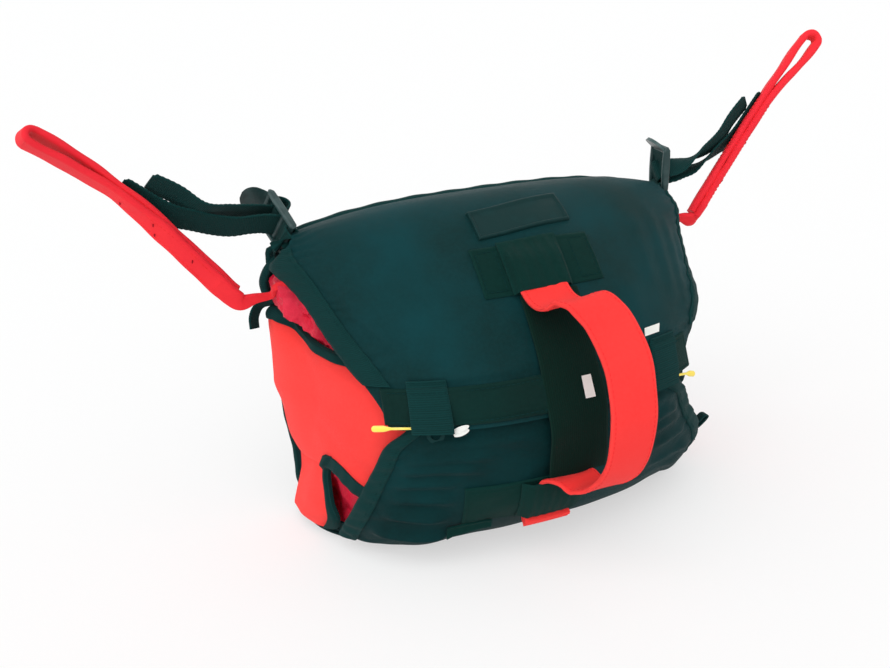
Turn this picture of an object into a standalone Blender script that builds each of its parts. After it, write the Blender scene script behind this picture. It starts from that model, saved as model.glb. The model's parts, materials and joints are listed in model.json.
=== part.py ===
"""Front-mounted reserve parachute container with a pull handle and two riser arms."""
import math

import bmesh
import bpy
from mathutils import Matrix, Vector

# Container form
HALF_WIDTH = 0.173
SQUARENESS = 2.5
BACK_HEIGHT = 0.250
CROWN_HEIGHT = 0.258
CROWN_REACH = 0.040
BELLY_HEIGHT = 0.108
BELLY_REACH = 0.167
FOOT_REACH = 0.103
DOME_DROP = 0.022
TOP_HANDLE = 0.015
SHOULDER_HANDLE = 0.050
BELLY_HANDLE = 0.058
FOOT_HANDLE = 0.045

# Cloth layers
FLAP_WALL = 0.003
LAYER_GAP = 0.0022
SEAT = 0.0003
PATCH_WALL = 0.0014
BINDING_WALL = 0.0012
BINDING_WIDTH = 0.014
COVER_WALL = 0.0018

# Upper flap, its edge as (centre height, distance in from the side)
FLAP_CORNER = 0.022
FLAP_EDGE = [(0.258, 0.016), (0.250, 0.013), (0.240, 0.0055), (0.228, 0.007), (0.213, 0.014),
             (0.197, 0.023), (0.179, 0.030), (0.162, 0.039), (0.150, 0.043), (0.100, 0.046)]
LABEL_HALF_WIDTH = 0.039
LABEL_SHIFT = 0.005
LABEL_DROP = 0.005
LABEL_TALL = 0.015
PATCH_HALF_WIDTH = 0.048
PATCH_DROP = 0.027
PATCH_TALL = 0.029
POCKET_HALF_WIDTH = 0.034
COVER_INSET = 0.036
COVER_TALL = 0.0275
TAG_TALL = 0.008
TAG_RISE = 0.006
TAG_INNER = 0.075
TAG_OUTER = 0.088
LABEL_HIGH = CROWN_HEIGHT - LABEL_DROP
LABEL_LOW = LABEL_HIGH - LABEL_TALL
PATCH_HIGH = CROWN_HEIGHT - PATCH_DROP
PATCH_LOW = PATCH_HIGH - PATCH_TALL
COVER_HALF_WIDTH = HALF_WIDTH - COVER_INSET

# Pins, guards and eyelets
PIN_HEIGHT = 0.1200
PIN_RADIUS = 0.0016
PIN_OUTER = 0.041
PIN_INNER = 0.012
PIN_LIFT = 0.0032
PIN_TO_FLAP = 0.004
PIN_TO_COVER = 0.0045
PIN_TO_GUARD = 0.007
GUARD_HALF_WIDTH = 0.0125
GUARD_RISE = 0.0080
LOOP_INSET = 0.072
LOOP_RADIUS = 0.0028
LOOP_CORD = 0.0009
EYELET_HOLE = 0.0038
EYELET_RADIUS = 0.0066
EYELET_WALL = 0.0007
FLAP_LOW = PIN_HEIGHT + PIN_TO_FLAP
COVER_LOW = PIN_HEIGHT + PIN_TO_COVER
COVER_HIGH = COVER_LOW + COVER_TALL
GUARD_LOW = PIN_HEIGHT - PIN_TO_GUARD
LOOP_PLACE = HALF_WIDTH - LOOP_INSET

# Lower flap, its edge as (centre height, distance in from the side)
LOWER_TUCK = 0.003
LOWER_HIGH = FLAP_LOW + LOWER_TUCK
LOWER_LOW = 0.012
LOWER_EDGE = [(0.140, 0.060), (0.123, 0.056), (0.109, 0.043), (0.089, 0.035), (0.074, 0.030),
              (0.048, 0.023), (0.023, 0.017), (0.000, 0.014)]
LOWER_PATCH_HIGH = 0.066
LOWER_PATCH_LOW = 0.028
LOWER_SHIFT = -0.012

# Side flaps, the front edge as (centre height, distance in from the side)
SIDE_EDGE = [(0.183, 0.009), (0.174, 0.024), (0.162, 0.045), (0.146, 0.067), (0.131, 0.058),
             (0.123, 0.051), (0.109, 0.039), (0.089, 0.031), (0.074, 0.0265), (0.048, 0.0195),
             (0.023, 0.0140), (0.014, 0.0115)]
SIDE_EYELET_INSET = 0.055
SIDE_EYELET_HEIGHT = 0.144
SIDE_BINDING = 0.009

# Back and base
BACK_WALL = 0.006
BACK_MARGIN = 0.0015
BACK_CORNER = 0.030
BASE_WALL = 0.003
BASE_SHARE = 0.97
PIPING_WIDTH = 0.004

# Inner pod and pack
POD_DEPTH = 0.0145
POD_WALL = 0.002
PACK_SLACK = 0.0025
POD_BACK = 0.001
PACK_BACK = 0.012
LINES_HALF_WIDTH = 0.060
LINES_LOW = 0.060
LINES_HIGH = 0.190
LANYARD_HIGH = 0.150
LANYARD_LOW = 0.070
LANYARD_HALF_WIDTH = 0.010
LANYARD_WALL = 0.002

# Handle, its arch as (lean share, reach beyond the belly, share of the way up from return to fold)
GRIP_WIDTH = 0.038
GRIP_THICKNESS = 0.003
GRIP_LEAN = 0.018
GRIP_ARCH = [(0.06, -0.016, 0.996), (0.22, -0.002, 1.047), (0.50, 0.020, 1.055), (0.76, 0.040, 0.961),
             (0.94, 0.053, 0.756), (1.00, 0.058, 0.504), (0.92, 0.053, 0.291), (0.68, 0.040, 0.142),
             (0.36, 0.023, 0.071), (0.00, 0.009, 0.047)]
BAND_WIDTH = 0.046
BAND_WALL = 0.002
BAND_LOW = 0.079
BAND_TUCK = 0.004
TAB_TUCK = 0.012
TAB_DROP = 0.008
TAB_RETURN = 0.0670
TAB_LOW = 0.033
HANDLE_TAG_HIGH = 0.146
HANDLE_TAG_TALL = 0.012
HANDLE_TAG_INNER = 0.004
HANDLE_TAG_OUTER = 0.014
HANDLE_TAG_WALL = 0.0008
BAND_HIGH = PATCH_LOW + BAND_TUCK
TAB_HIGH = PATCH_LOW + TAB_TUCK
TAB_FOLD = PATCH_LOW - TAB_DROP

# Buckles and keeper loops
ARM_INSET = {"left": 0.012, "right": 0.006}
ARM_BACK = 0.003
WEBBING_WIDTH = 0.018
WEBBING_WALL = 0.0016
BAR_HALF = 0.0021
BAR_PITCH = 0.0126
BUCKLE_LENGTH = 0.046
BUCKLE_HALF_WIDTH = 0.014
BUCKLE_RAIL = 0.004
BUCKLE_WALL = 0.0042
WRAP_RADIUS = 0.0042
KEEPER_DROP = 0.0060
BUCKLE_TILT = {"left": math.radians(24.0), "right": math.radians(3.0)}

# Riser arms, bend and tip as (beyond the side, depth, height)
RISER_BEND = {"left": (0.029, -0.017, 0.198), "right": (0.028, -0.017, 0.200)}
RISER_TIP = {"left": (0.156, -0.014, 0.336), "right": (0.161, -0.014, 0.351)}
RISER_WIDTH = 0.019
RISER_WALL = 0.008
EYE_START = 0.118
EYE_LEG = 0.004
EYE_GAP = 0.018
SEW_START = 0.076
SEW_RAISE = 0.006
TAIL_WIDTH = 0.011
TAIL_WALL = 0.003
TAIL_ENTRY = 0.212
TAIL_INSET = 0.0025

# Grid steps
BACK_ANGLE = math.radians(89.99)
STEP = 0.00005

for old in list(bpy.data.objects):
    bpy.data.objects.remove(old, do_unlink=True)


def mix(first, last, share):
    return first + (last - first) * share


def smooth(share):
    share = min(1.0, max(0.0, share))
    return share * share * (3.0 - 2.0 * share)


def bezier(a, b, c, d, t):
    u = 1.0 - t
    first = u * u * u
    second = 3.0 * u * u * t
    third = 3.0 * u * t * t
    fourth = t * t * t
    reach = first * a[0] + second * b[0] + third * c[0] + fourth * d[0]
    height = first * a[1] + second * b[1] + third * c[1] + fourth * d[1]
    return reach, height


# Centre profile
BACK_TOP = (0.0, BACK_HEIGHT)
CROWN = (CROWN_REACH, CROWN_HEIGHT)
BELLY = (BELLY_REACH, BELLY_HEIGHT)
FOOT = (FOOT_REACH, 0.0)
ARCS = [
    (BACK_TOP, (TOP_HANDLE, mix(BACK_HEIGHT, CROWN_HEIGHT, 0.7)),
     (CROWN_REACH - TOP_HANDLE, CROWN_HEIGHT), CROWN),
    (CROWN, (CROWN_REACH + SHOULDER_HANDLE, CROWN_HEIGHT),
     (BELLY_REACH, BELLY_HEIGHT + SHOULDER_HANDLE), BELLY),
    (BELLY, (BELLY_REACH, BELLY_HEIGHT - BELLY_HANDLE), (FOOT_REACH + FOOT_HANDLE, 0.0), FOOT),
    (FOOT, (FOOT_REACH * 2.0 / 3.0, 0.0), (FOOT_REACH / 3.0, 0.0), (0.0, 0.0)),
]


def profile(s):
    arc = min(3, max(0, int(s)))
    return bezier(*ARCS[arc], s - arc)


def table(pairs, height):
    """Value at a height from (height, value) pairs that fall in height."""
    for (high, first), (low, last) in zip(pairs, pairs[1:]):
        if height >= low:
            share = min(1.0, (high - height) / (high - low))
            return first + (last - first) * max(0.0, share)
    return pairs[-1][1]


def station(height):
    low = 3.0
    high = 1.0
    for _ in range(40):
        middle = (low + high) / 2.0
        if profile(middle)[1] < height:
            low = middle
        else:
            high = middle
    return (low + high) / 2.0


def angle(x):
    share = min(1.0, abs(x) / HALF_WIDTH)
    return math.copysign(math.asin(share ** (SQUARENESS / 2.0)), x)


def skin_base(tau, s):
    reach, height = profile(s)
    side = math.copysign(abs(math.sin(tau)) ** (2.0 / SQUARENESS), tau)
    front = abs(math.cos(tau)) ** (2.0 / SQUARENESS)
    weight = max(0.0, (height - BELLY_HEIGHT) / (CROWN_HEIGHT - BELLY_HEIGHT)) ** 2
    return Vector((HALF_WIDTH * side, -reach * front, height - DOME_DROP * abs(side) ** 3 * weight))


def normal(tau, s):
    s = min(3.999, max(0.001, s))
    across = skin_base(tau + STEP, s) - skin_base(tau - STEP, s)
    if abs(tau) < 0.01:
        across = Vector((1.0, 0.0, 0.0))
    down = skin_base(tau, s + 0.001) - skin_base(tau, s - 0.001)
    return down.cross(across).normalized()


def skin(tau, s, lift):
    return skin_base(tau, s) + normal(tau, s) * lift


# Materials and placing
MATERIALS = {}


def material(name, colour, roughness, metallic=0.0):
    made = bpy.data.materials.new(name)
    made.use_nodes = True
    shader = made.node_tree.nodes["Principled BSDF"]
    shader.inputs["Base Color"].default_value = (*colour, 1.0)
    shader.inputs["Roughness"].default_value = roughness
    shader.inputs["Metallic"].default_value = metallic
    MATERIALS[name] = made


material("black_cloth", (0.016, 0.045, 0.05), 0.75)
material("black_webbing", (0.014, 0.035, 0.034), 0.85)
material("red_cloth", (0.95, 0.06, 0.055), 0.65)
material("red_webbing", (0.97, 0.05, 0.05), 0.7)
material("crimson_cloth", (0.55, 0.01, 0.05), 0.4)
material("white_cloth", (0.9, 0.9, 0.88), 0.8)
material("grey_label", (0.06, 0.09, 0.09), 0.5)
material("dark_plastic", (0.08, 0.11, 0.11), 0.4)
material("yellow_plastic", (0.95, 0.75, 0.15), 0.45)
material("eyelet_metal", (0.6, 0.6, 0.6), 0.3, 1.0)
material("foam_back", (0.02, 0.03, 0.03), 0.9)

PIVOTS = {}


def pivot(name, place, parent=None):
    empty = bpy.data.objects.new(name, None)
    bpy.context.scene.collection.objects.link(empty)
    empty.empty_display_size = 0.02
    empty.location = place
    PIVOTS[name] = Vector(place)
    if parent:
        empty.parent = bpy.data.objects[parent]
        empty.location = Vector(place) - PIVOTS[parent]


def add_mesh(name, bm, look, pivot_name):
    bmesh.ops.recalc_face_normals(bm, faces=bm.faces)
    if bm.calc_volume(signed=True) < 0.0:
        bmesh.ops.reverse_faces(bm, faces=bm.faces)
    bmesh.ops.translate(bm, verts=bm.verts, vec=-PIVOTS[pivot_name])
    mesh = bpy.data.meshes.new(name)
    bm.to_mesh(mesh)
    bm.free()
    mesh.materials.append(MATERIALS[look])
    made = bpy.data.objects.new(name, mesh)
    bpy.context.scene.collection.objects.link(made)
    made.parent = bpy.data.objects[pivot_name]
    return made


def sheet(name, grid, low, high, look, pivot_name):
    """Closed cloth piece between two lifts over rows of (angle, station) pairs."""
    bm = bmesh.new()
    layers = []
    for lift in (low, high):
        layer = []
        for i, row in enumerate(grid):
            line = []
            for j, (tau, s) in enumerate(row):
                value = lift(i, j) if callable(lift) else lift
                line.append(bm.verts.new(skin(tau, s, value)))
            layer.append(line)
        layers.append(layer)
    rows = len(grid)
    columns = len(grid[0])
    for layer in layers:
        for i in range(rows - 1):
            for j in range(columns - 1):
                bm.faces.new((layer[i][j], layer[i][j + 1], layer[i + 1][j + 1], layer[i + 1][j]))
    rim = [(0, j) for j in range(columns)]
    rim += [(i, columns - 1) for i in range(1, rows)]
    rim += [(rows - 1, j) for j in range(columns - 2, -1, -1)]
    rim += [(i, 0) for i in range(rows - 2, 0, -1)]
    for here, there in zip(rim, rim[1:] + rim[:1]):
        a = layers[0][here[0]][here[1]]
        b = layers[0][there[0]][there[1]]
        c = layers[1][there[0]][there[1]]
        d = layers[1][here[0]][here[1]]
        bm.faces.new((a, b, c, d))
    return add_mesh(name, bm, look, pivot_name)


def spread(first, last, count):
    return [mix(first, last, k / (count - 1)) for k in range(count)]


def field(heights, left, right, columns):
    """Grid of stations from centre heights and two edge functions of height."""
    grid = []
    for height in heights:
        s = station(height)
        grid.append([(angle(x), s) for x in spread(left(height), right(height), columns)])
    return grid


def ribbon(name, path, width, wall, look, pivot_name):
    """Flat strap through (centre, width direction) pairs."""
    bm = bmesh.new()
    rings = []
    centres = [Vector(centre) for centre, _ in path]
    for k, (centre, across) in enumerate(path):
        along = centres[min(k + 1, len(path) - 1)] - centres[max(k - 1, 0)]
        along.normalize()
        across = Vector(across)
        across = (across - along * across.dot(along)).normalized()
        thick = along.cross(across)
        ring = []
        for wide, deep in ((-1, -1), (1, -1), (1, 1), (-1, 1)):
            corner = centres[k] + across * (wide * width / 2.0) + thick * (deep * wall / 2.0)
            ring.append(bm.verts.new(corner))
        rings.append(ring)
    for ring, following in zip(rings, rings[1:]):
        for k in range(4):
            bm.faces.new((ring[k], ring[(k + 1) % 4], following[(k + 1) % 4], following[k]))
    bm.faces.new(rings[0])
    bm.faces.new(rings[-1])
    return add_mesh(name, bm, look, pivot_name)


def plate(name, outlines, wall, place, look, pivot_name):
    """Flat piece from closed outlines, the first the rim and the others holes."""
    curve = bpy.data.curves.new(name, "CURVE")
    curve.dimensions = "2D"
    curve.fill_mode = "BOTH"
    curve.extrude = wall / 2.0
    for outline in outlines:
        spline = curve.splines.new("POLY")
        spline.points.add(len(outline) - 1)
        for point, (u, v) in zip(spline.points, outline):
            point.co = (u, v, 0.0, 1.0)
        spline.use_cyclic_u = True
    holder = bpy.data.objects.new(name, curve)
    bpy.context.scene.collection.objects.link(holder)
    shape = bpy.data.meshes.new_from_object(holder.evaluated_get(bpy.context.evaluated_depsgraph_get()))
    bpy.data.objects.remove(holder)
    bm = bmesh.new()
    bm.from_mesh(shape)
    bmesh.ops.remove_doubles(bm, verts=bm.verts, dist=0.00001)
    bmesh.ops.transform(bm, matrix=place, verts=bm.verts)
    return add_mesh(name, bm, look, pivot_name)


def rod(name, points, radius, look, pivot_name, sides=10, cyclic=False):
    """Round cord or pin along points."""
    bm = bmesh.new()
    points = [Vector(point) for point in points]
    count = len(points)
    rings = []
    for k, centre in enumerate(points):
        if cyclic:
            along = points[(k + 1) % count] - points[k - 1]
        else:
            along = points[min(k + 1, count - 1)] - points[max(k - 1, 0)]
        along.normalize()
        aside = along.cross(Vector((0.0, 0.0, 1.0)))
        if aside.length < 0.1 or cyclic:
            aside = along.cross(points[0] - points[count // 2] if not cyclic else cyclic)
        aside.normalize()
        over = along.cross(aside)
        ring = []
        for step in range(sides):
            turn = 2.0 * math.pi * step / sides
            ring.append(bm.verts.new(centre + (aside * math.cos(turn) + over * math.sin(turn)) * radius))
        rings.append(ring)
    following = rings[1:] + (rings[:1] if cyclic else [])
    for ring, after in zip(rings, following):
        for k in range(sides):
            bm.faces.new((ring[k], ring[(k + 1) % sides], after[(k + 1) % sides], after[k]))
    if not cyclic:
        bm.faces.new(rings[0])
        bm.faces.new(rings[-1])
    return add_mesh(name, bm, look, pivot_name)


def frame_at(origin, u_axis, v_axis):
    u_axis = Vector(u_axis).normalized()
    v_axis = Vector(v_axis).normalized()
    w_axis = u_axis.cross(v_axis)
    turn = Matrix((u_axis, v_axis, w_axis)).transposed().to_4x4()
    return Matrix.Translation(origin) @ turn


def rounded(half_u, low_v, high_v, radius, steps=4):
    """Rounded rectangle outline."""
    outline = []
    corners = [(half_u - radius, high_v - radius, 0.0), (-half_u + radius, high_v - radius, 90.0),
               (-half_u + radius, low_v + radius, 180.0), (half_u - radius, low_v + radius, 270.0)]
    for u, v, start in corners:
        for k in range(steps + 1):
            turn = math.radians(start + 90.0 * k / steps)
            outline.append((u + radius * math.cos(turn), v + radius * math.sin(turn)))
    return outline


def circle(radius, steps, start=0.0):
    turns = [start + 2.0 * math.pi * k / steps for k in range(steps)]
    return [(radius * math.cos(turn), radius * math.sin(turn)) for turn in turns]


# Layer lifts
UPPER = (0.0, FLAP_WALL)
LOWER = (-LAYER_GAP - FLAP_WALL, -LAYER_GAP)
SIDE = (LOWER[0] - LAYER_GAP - FLAP_WALL, LOWER[0] - LAYER_GAP)
PATCH = (UPPER[1] + SEAT, UPPER[1] + SEAT + PATCH_WALL)
COVER = (UPPER[1] + 0.0007, UPPER[1] + 0.0007 + COVER_WALL)
BAND = (COVER[1] + 0.0008, COVER[1] + 0.0008 + BAND_WALL)
TAB_LIFT = BAND[1] + 0.0006 + GRIP_THICKNESS / 2.0
POCKET = TAB_LIFT + GRIP_THICKNESS / 2.0 + 0.0006
LOWER_PATCH = (LOWER[1] + SEAT, LOWER[1] + SEAT + PATCH_WALL)
LOWER_TAB_LIFT = LOWER_PATCH[1] + 0.0006 + GRIP_THICKNESS / 2.0
LOWER_POCKET = LOWER_TAB_LIFT + GRIP_THICKNESS / 2.0 + 0.0014

# Joint places
HINGE_TOP = skin(0.0, 0.0, FLAP_WALL)
HINGE_LOW = Vector((0.0, -FOOT_REACH, 0.004))
pivot("container", (0.0, 0.0, 0.0))
pivot("upper_flap_hinge", HINGE_TOP, "container")
pivot("lower_flap_hinge", HINGE_LOW, "container")
pivot("handle_slide", (0.0, -BELLY_REACH, PIN_HEIGHT), "upper_flap_hinge")

# Back panel with a bound edge
PANEL_HALF = HALF_WIDTH + BACK_MARGIN


def back_outline(inset, count):
    """Back panel outline in x and z, dropped a little below the flap hinge."""
    half = PANEL_HALF - inset
    corner = BACK_CORNER - inset
    low = BASE_WALL + SEAT + inset
    outline = [(half - corner, low), (half - 0.3 * corner, 0.3 * corner + low), (half, corner + low)]
    for x in spread(half, -half, count):
        drop = DOME_DROP * abs(x / HALF_WIDTH) ** 3 * 0.87
        outline.append((x, BACK_HEIGHT - 0.001 - inset - drop))
    outline += [(-half, corner + low), (-half + 0.3 * corner, 0.3 * corner + low)]
    outline.append((-half + corner, low))
    return outline


facing_back = frame_at((0.0, BACK_WALL / 2.0 + SEAT, 0.0), (1.0, 0.0, 0.0), (0.0, 0.0, 1.0))
plate("back_panel", [back_outline(PIPING_WIDTH + SEAT, 15)], BACK_WALL, facing_back, "foam_back",
      "container")
plate("back_binding", [back_outline(0.0, 15), back_outline(PIPING_WIDTH, 15)], BACK_WALL - 0.001,
      facing_back, "black_webbing", "container")

# Base panel on the ground
base = []
for turn in spread(-BACK_ANGLE, BACK_ANGLE, 17):
    foot = skin_base(turn, 3.0)
    base.append((foot.x * BASE_SHARE, foot.y * BASE_SHARE))
base.append((base[-1][0], BACK_WALL))
base.append((base[0][0], BACK_WALL))
plate("base_panel", [base], BASE_WALL, Matrix.Translation((0.0, 0.0, BASE_WALL / 2.0)),
      "black_cloth", "container")

# Packed canopy in its pod
turns = spread(-BACK_ANGLE, BACK_ANGLE, 17)
down = [0.12, 0.6, 1.0, 1.25, 1.5, 1.75, 2.0, 2.25, 2.5, 2.75, 3.0, 3.5, 3.9]


def shrunk(bm, depth, floor):
    """Rows of points on the container form drawn in by a depth, above a floor."""
    rows = []
    for s in down:
        row = []
        for tau in turns:
            point = skin_base(tau, s)
            x = point.x * (1.0 - depth / HALF_WIDTH)
            y = -POD_BACK + point.y * (1.0 - (depth + POD_BACK) / BELLY_REACH)
            z = floor + point.z * (1.0 - (depth + floor) / CROWN_HEIGHT)
            row.append(bm.verts.new((x, y, z)))
        rows.append(row)
    for above, below in zip(rows, rows[1:]):
        for j in range(len(turns) - 1):
            bm.faces.new((above[j], above[j + 1], below[j + 1], below[j]))
    loop = rows[0] + [row[-1] for row in rows[1:]] + rows[-1][-2::-1]
    return loop + [row[0] for row in rows[-2:0:-1]]


pod_floor = BASE_WALL + SEAT
pack_floor = pod_floor + POD_WALL + SEAT
bm = bmesh.new()
outer_loop = shrunk(bm, POD_DEPTH, pod_floor)
inner_loop = shrunk(bm, POD_DEPTH + POD_WALL, pod_floor + POD_WALL)
for k in range(len(outer_loop)):
    bm.faces.new((outer_loop[k - 1], outer_loop[k], inner_loop[k], inner_loop[k - 1]))
add_mesh("inner_pod", bm, "crimson_cloth", "container")
bm = bmesh.new()
loop = shrunk(bm, POD_DEPTH + POD_WALL + PACK_SLACK, pack_floor)
middle = bm.verts.new((0.0, -POD_BACK, BELLY_HEIGHT))
for k in range(len(loop)):
    bm.faces.new((loop[k - 1], loop[k], middle))
cut = bmesh.ops.bisect_plane(bm, geom=bm.verts[:] + bm.edges[:] + bm.faces[:], dist=1e-6,
                             plane_co=(0.0, -PACK_BACK, 0.0), plane_no=(0.0, 1.0, 0.0), clear_outer=True)
rim = [part for part in cut["geom_cut"] if isinstance(part, bmesh.types.BMEdge)]
bmesh.ops.edgeloop_fill(bm, edges=rim)
add_mesh("packed_canopy", bm, "red_cloth", "container")
lines_middle = (LINES_LOW + LINES_HIGH) / 2.0
lines_depth = PACK_BACK - 0.0008
plate("line_pocket", [rounded(LINES_HALF_WIDTH, LINES_LOW - lines_middle, LINES_HIGH - lines_middle, 0.02)],
      lines_depth, frame_at((0.0, -lines_depth / 2.0 - SEAT, lines_middle), (1, 0, 0), (0, 0, 1)),
      "white_cloth", "container")
lanyard_lift = -POD_DEPTH + 0.0008
sheet("pod_lanyard", field(spread(LANYARD_HIGH, LANYARD_LOW, 6), lambda h: -LANYARD_HALF_WIDTH,
                           lambda h: LANYARD_HALF_WIDTH, 3),
      lanyard_lift, lanyard_lift + LANYARD_WALL, "red_webbing", "container")

# Upper flap
low_s = station(FLAP_LOW)


def upper_edge(s):
    inset = mix(FLAP_CORNER, FLAP_EDGE[0][1], s) if s < 1.0 else table(FLAP_EDGE, profile(s)[1])
    return HALF_WIDTH - inset


upper_rows = [0.0, 0.35, 0.7, 1.0, 1.13] + spread(1.24, low_s, 9)
upper_grid = [[(angle(x), s) for x in spread(-upper_edge(s), upper_edge(s), 17)] for s in upper_rows]
sheet("upper_flap", upper_grid, *UPPER, "black_cloth", "upper_flap_hinge")
edge_end = station(COVER_HIGH + 0.001)
edge_rows = [s for s in upper_rows[3:] if s < edge_end - 0.05] + [edge_end]
for name, sign in (("left", -1.0), ("right", 1.0)):
    grid = []
    for s in edge_rows:
        edge = upper_edge(s) + 0.0005
        grid.append([(angle(sign * x), s) for x in spread(edge - BINDING_WIDTH, edge, 4)])
    sheet(name + "_flap_binding", grid, COVER[0], COVER[0] + BINDING_WALL, "black_webbing",
          "upper_flap_hinge")
sheet("label_patch", field(spread(LABEL_HIGH, LABEL_LOW, 4), lambda h: LABEL_SHIFT - LABEL_HALF_WIDTH,
                           lambda h: LABEL_SHIFT + LABEL_HALF_WIDTH, 7), *PATCH, "grey_label", "upper_flap_hinge")
sheet("upper_tuck_patch", field(spread(PATCH_HIGH, PATCH_LOW, 5), lambda h: -PATCH_HALF_WIDTH,
                                lambda h: PATCH_HALF_WIDTH, 9), *PATCH, "black_webbing",
      "upper_flap_hinge")


def pocket_lift(columns, seat, rise, extra):
    """Lift across a pocket band that bridges the tuck tab."""
    def lift(i, j):
        x = abs(2.0 * j / (columns - 1) - 1.0) * POCKET_HALF_WIDTH
        share = smooth((POCKET_HALF_WIDTH - x) / (POCKET_HALF_WIDTH - GRIP_WIDTH / 2.0 - 0.006))
        return mix(seat, rise, share) + extra
    return lift


pocket_columns = 13
pocket_seat = PATCH[1] + SEAT
pocket_grid = field(spread(PATCH_HIGH - 0.003, PATCH_LOW + 0.008, 4), lambda h: -POCKET_HALF_WIDTH,
                    lambda h: POCKET_HALF_WIDTH, pocket_columns)
sheet("upper_tuck_pocket", pocket_grid, pocket_lift(pocket_columns, pocket_seat, POCKET, 0.0),
      pocket_lift(pocket_columns, pocket_seat, POCKET, PATCH_WALL), "black_webbing", "upper_flap_hinge")
sheet("pin_cover_band", field(spread(COVER_HIGH, COVER_LOW, 4), lambda h: -COVER_HALF_WIDTH,
                              lambda h: COVER_HALF_WIDTH, 19), *COVER, "black_webbing",
      "upper_flap_hinge")
tag_low = COVER_HIGH + TAG_RISE
sheet("right_flap_tag", field(spread(tag_low + TAG_TALL, tag_low, 3), lambda h: TAG_INNER,
                              lambda h: TAG_OUTER, 3), *PATCH, "white_cloth", "upper_flap_hinge")

# Lower flap
lower_rows = spread(station(LOWER_HIGH), station(LOWER_LOW), 9)


def lower_edge(height):
    return HALF_WIDTH - table(LOWER_EDGE, height)


lower_heights = [profile(s)[1] for s in lower_rows]
lower_grid = field(lower_heights, lambda h: -lower_edge(h), lambda h: lower_edge(h), 21)
sheet("lower_flap", lower_grid, *LOWER, "black_cloth", "lower_flap_hinge")
for name, sign in (("left", -1.0), ("right", 1.0)):
    inner = lambda h: sign * (lower_edge(h) + 0.001 - BINDING_WIDTH * 0.7)
    outer = lambda h: sign * (lower_edge(h) + 0.001)
    sheet(name + "_lower_binding", field(lower_heights[2:], inner, outer, 3), LOWER_PATCH[0],
          LOWER_PATCH[0] + BINDING_WALL, "black_webbing", "lower_flap_hinge")
sheet("lower_tuck_patch", field(spread(LOWER_PATCH_HIGH, LOWER_PATCH_LOW, 5),
                                lambda h: LOWER_SHIFT - PATCH_HALF_WIDTH,
                                lambda h: LOWER_SHIFT + PATCH_HALF_WIDTH, 9), *LOWER_PATCH, "black_webbing",
      "lower_flap_hinge")
low_seat = LOWER_PATCH[1] + SEAT
low_pocket = field(spread(LOWER_PATCH_HIGH - 0.006, LOWER_PATCH_LOW + 0.008, 4),
                   lambda h: LOWER_SHIFT - POCKET_HALF_WIDTH, lambda h: LOWER_SHIFT + POCKET_HALF_WIDTH,
                   pocket_columns)
sheet("lower_tuck_pocket", low_pocket, pocket_lift(pocket_columns, low_seat, LOWER_POCKET, 0.0),
      pocket_lift(pocket_columns, low_seat, LOWER_POCKET, PATCH_WALL), "black_webbing", "lower_flap_hinge")

# Handle band, grip and tag
grip_half = GRIP_WIDTH / 2.0
band_half = BAND_WIDTH / 2.0
sheet("handle_band", field(spread(BAND_HIGH, BAND_LOW, 12), lambda h: -band_half, lambda h: band_half, 5),
      *BAND, "black_webbing", "handle_slide")
sheet("handle_tag", field(spread(HANDLE_TAG_HIGH, HANDLE_TAG_HIGH - HANDLE_TAG_TALL, 3),
                          lambda h: HANDLE_TAG_INNER, lambda h: HANDLE_TAG_OUTER, 3),
      BAND[1] + SEAT, BAND[1] + SEAT + HANDLE_TAG_WALL, "white_cloth", "handle_slide")
low_tau = angle(LOWER_SHIFT)
top_tab = [skin(0.0, station(height), TAB_LIFT) for height in spread(TAB_HIGH, TAB_FOLD, 4)]
low_tab = [skin(low_tau, station(height), LOWER_TAB_LIFT) for height in spread(TAB_RETURN, TAB_LOW, 4)]
grip = list(top_tab)
for share, reach, climb in GRIP_ARCH:
    height = mix(TAB_RETURN, TAB_FOLD, climb)
    drift = LOWER_SHIFT * smooth((TAB_FOLD - height) / (TAB_FOLD - TAB_RETURN))
    grip.append(Vector((GRIP_LEAN * share + drift, -BELLY_REACH - reach, height)))
grip += low_tab
ribbon("handle_grip", [(point, (1.0, 0.0, 0.0)) for point in grip], GRIP_WIDTH, GRIP_THICKNESS,
       "red_webbing", "handle_slide")

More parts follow.
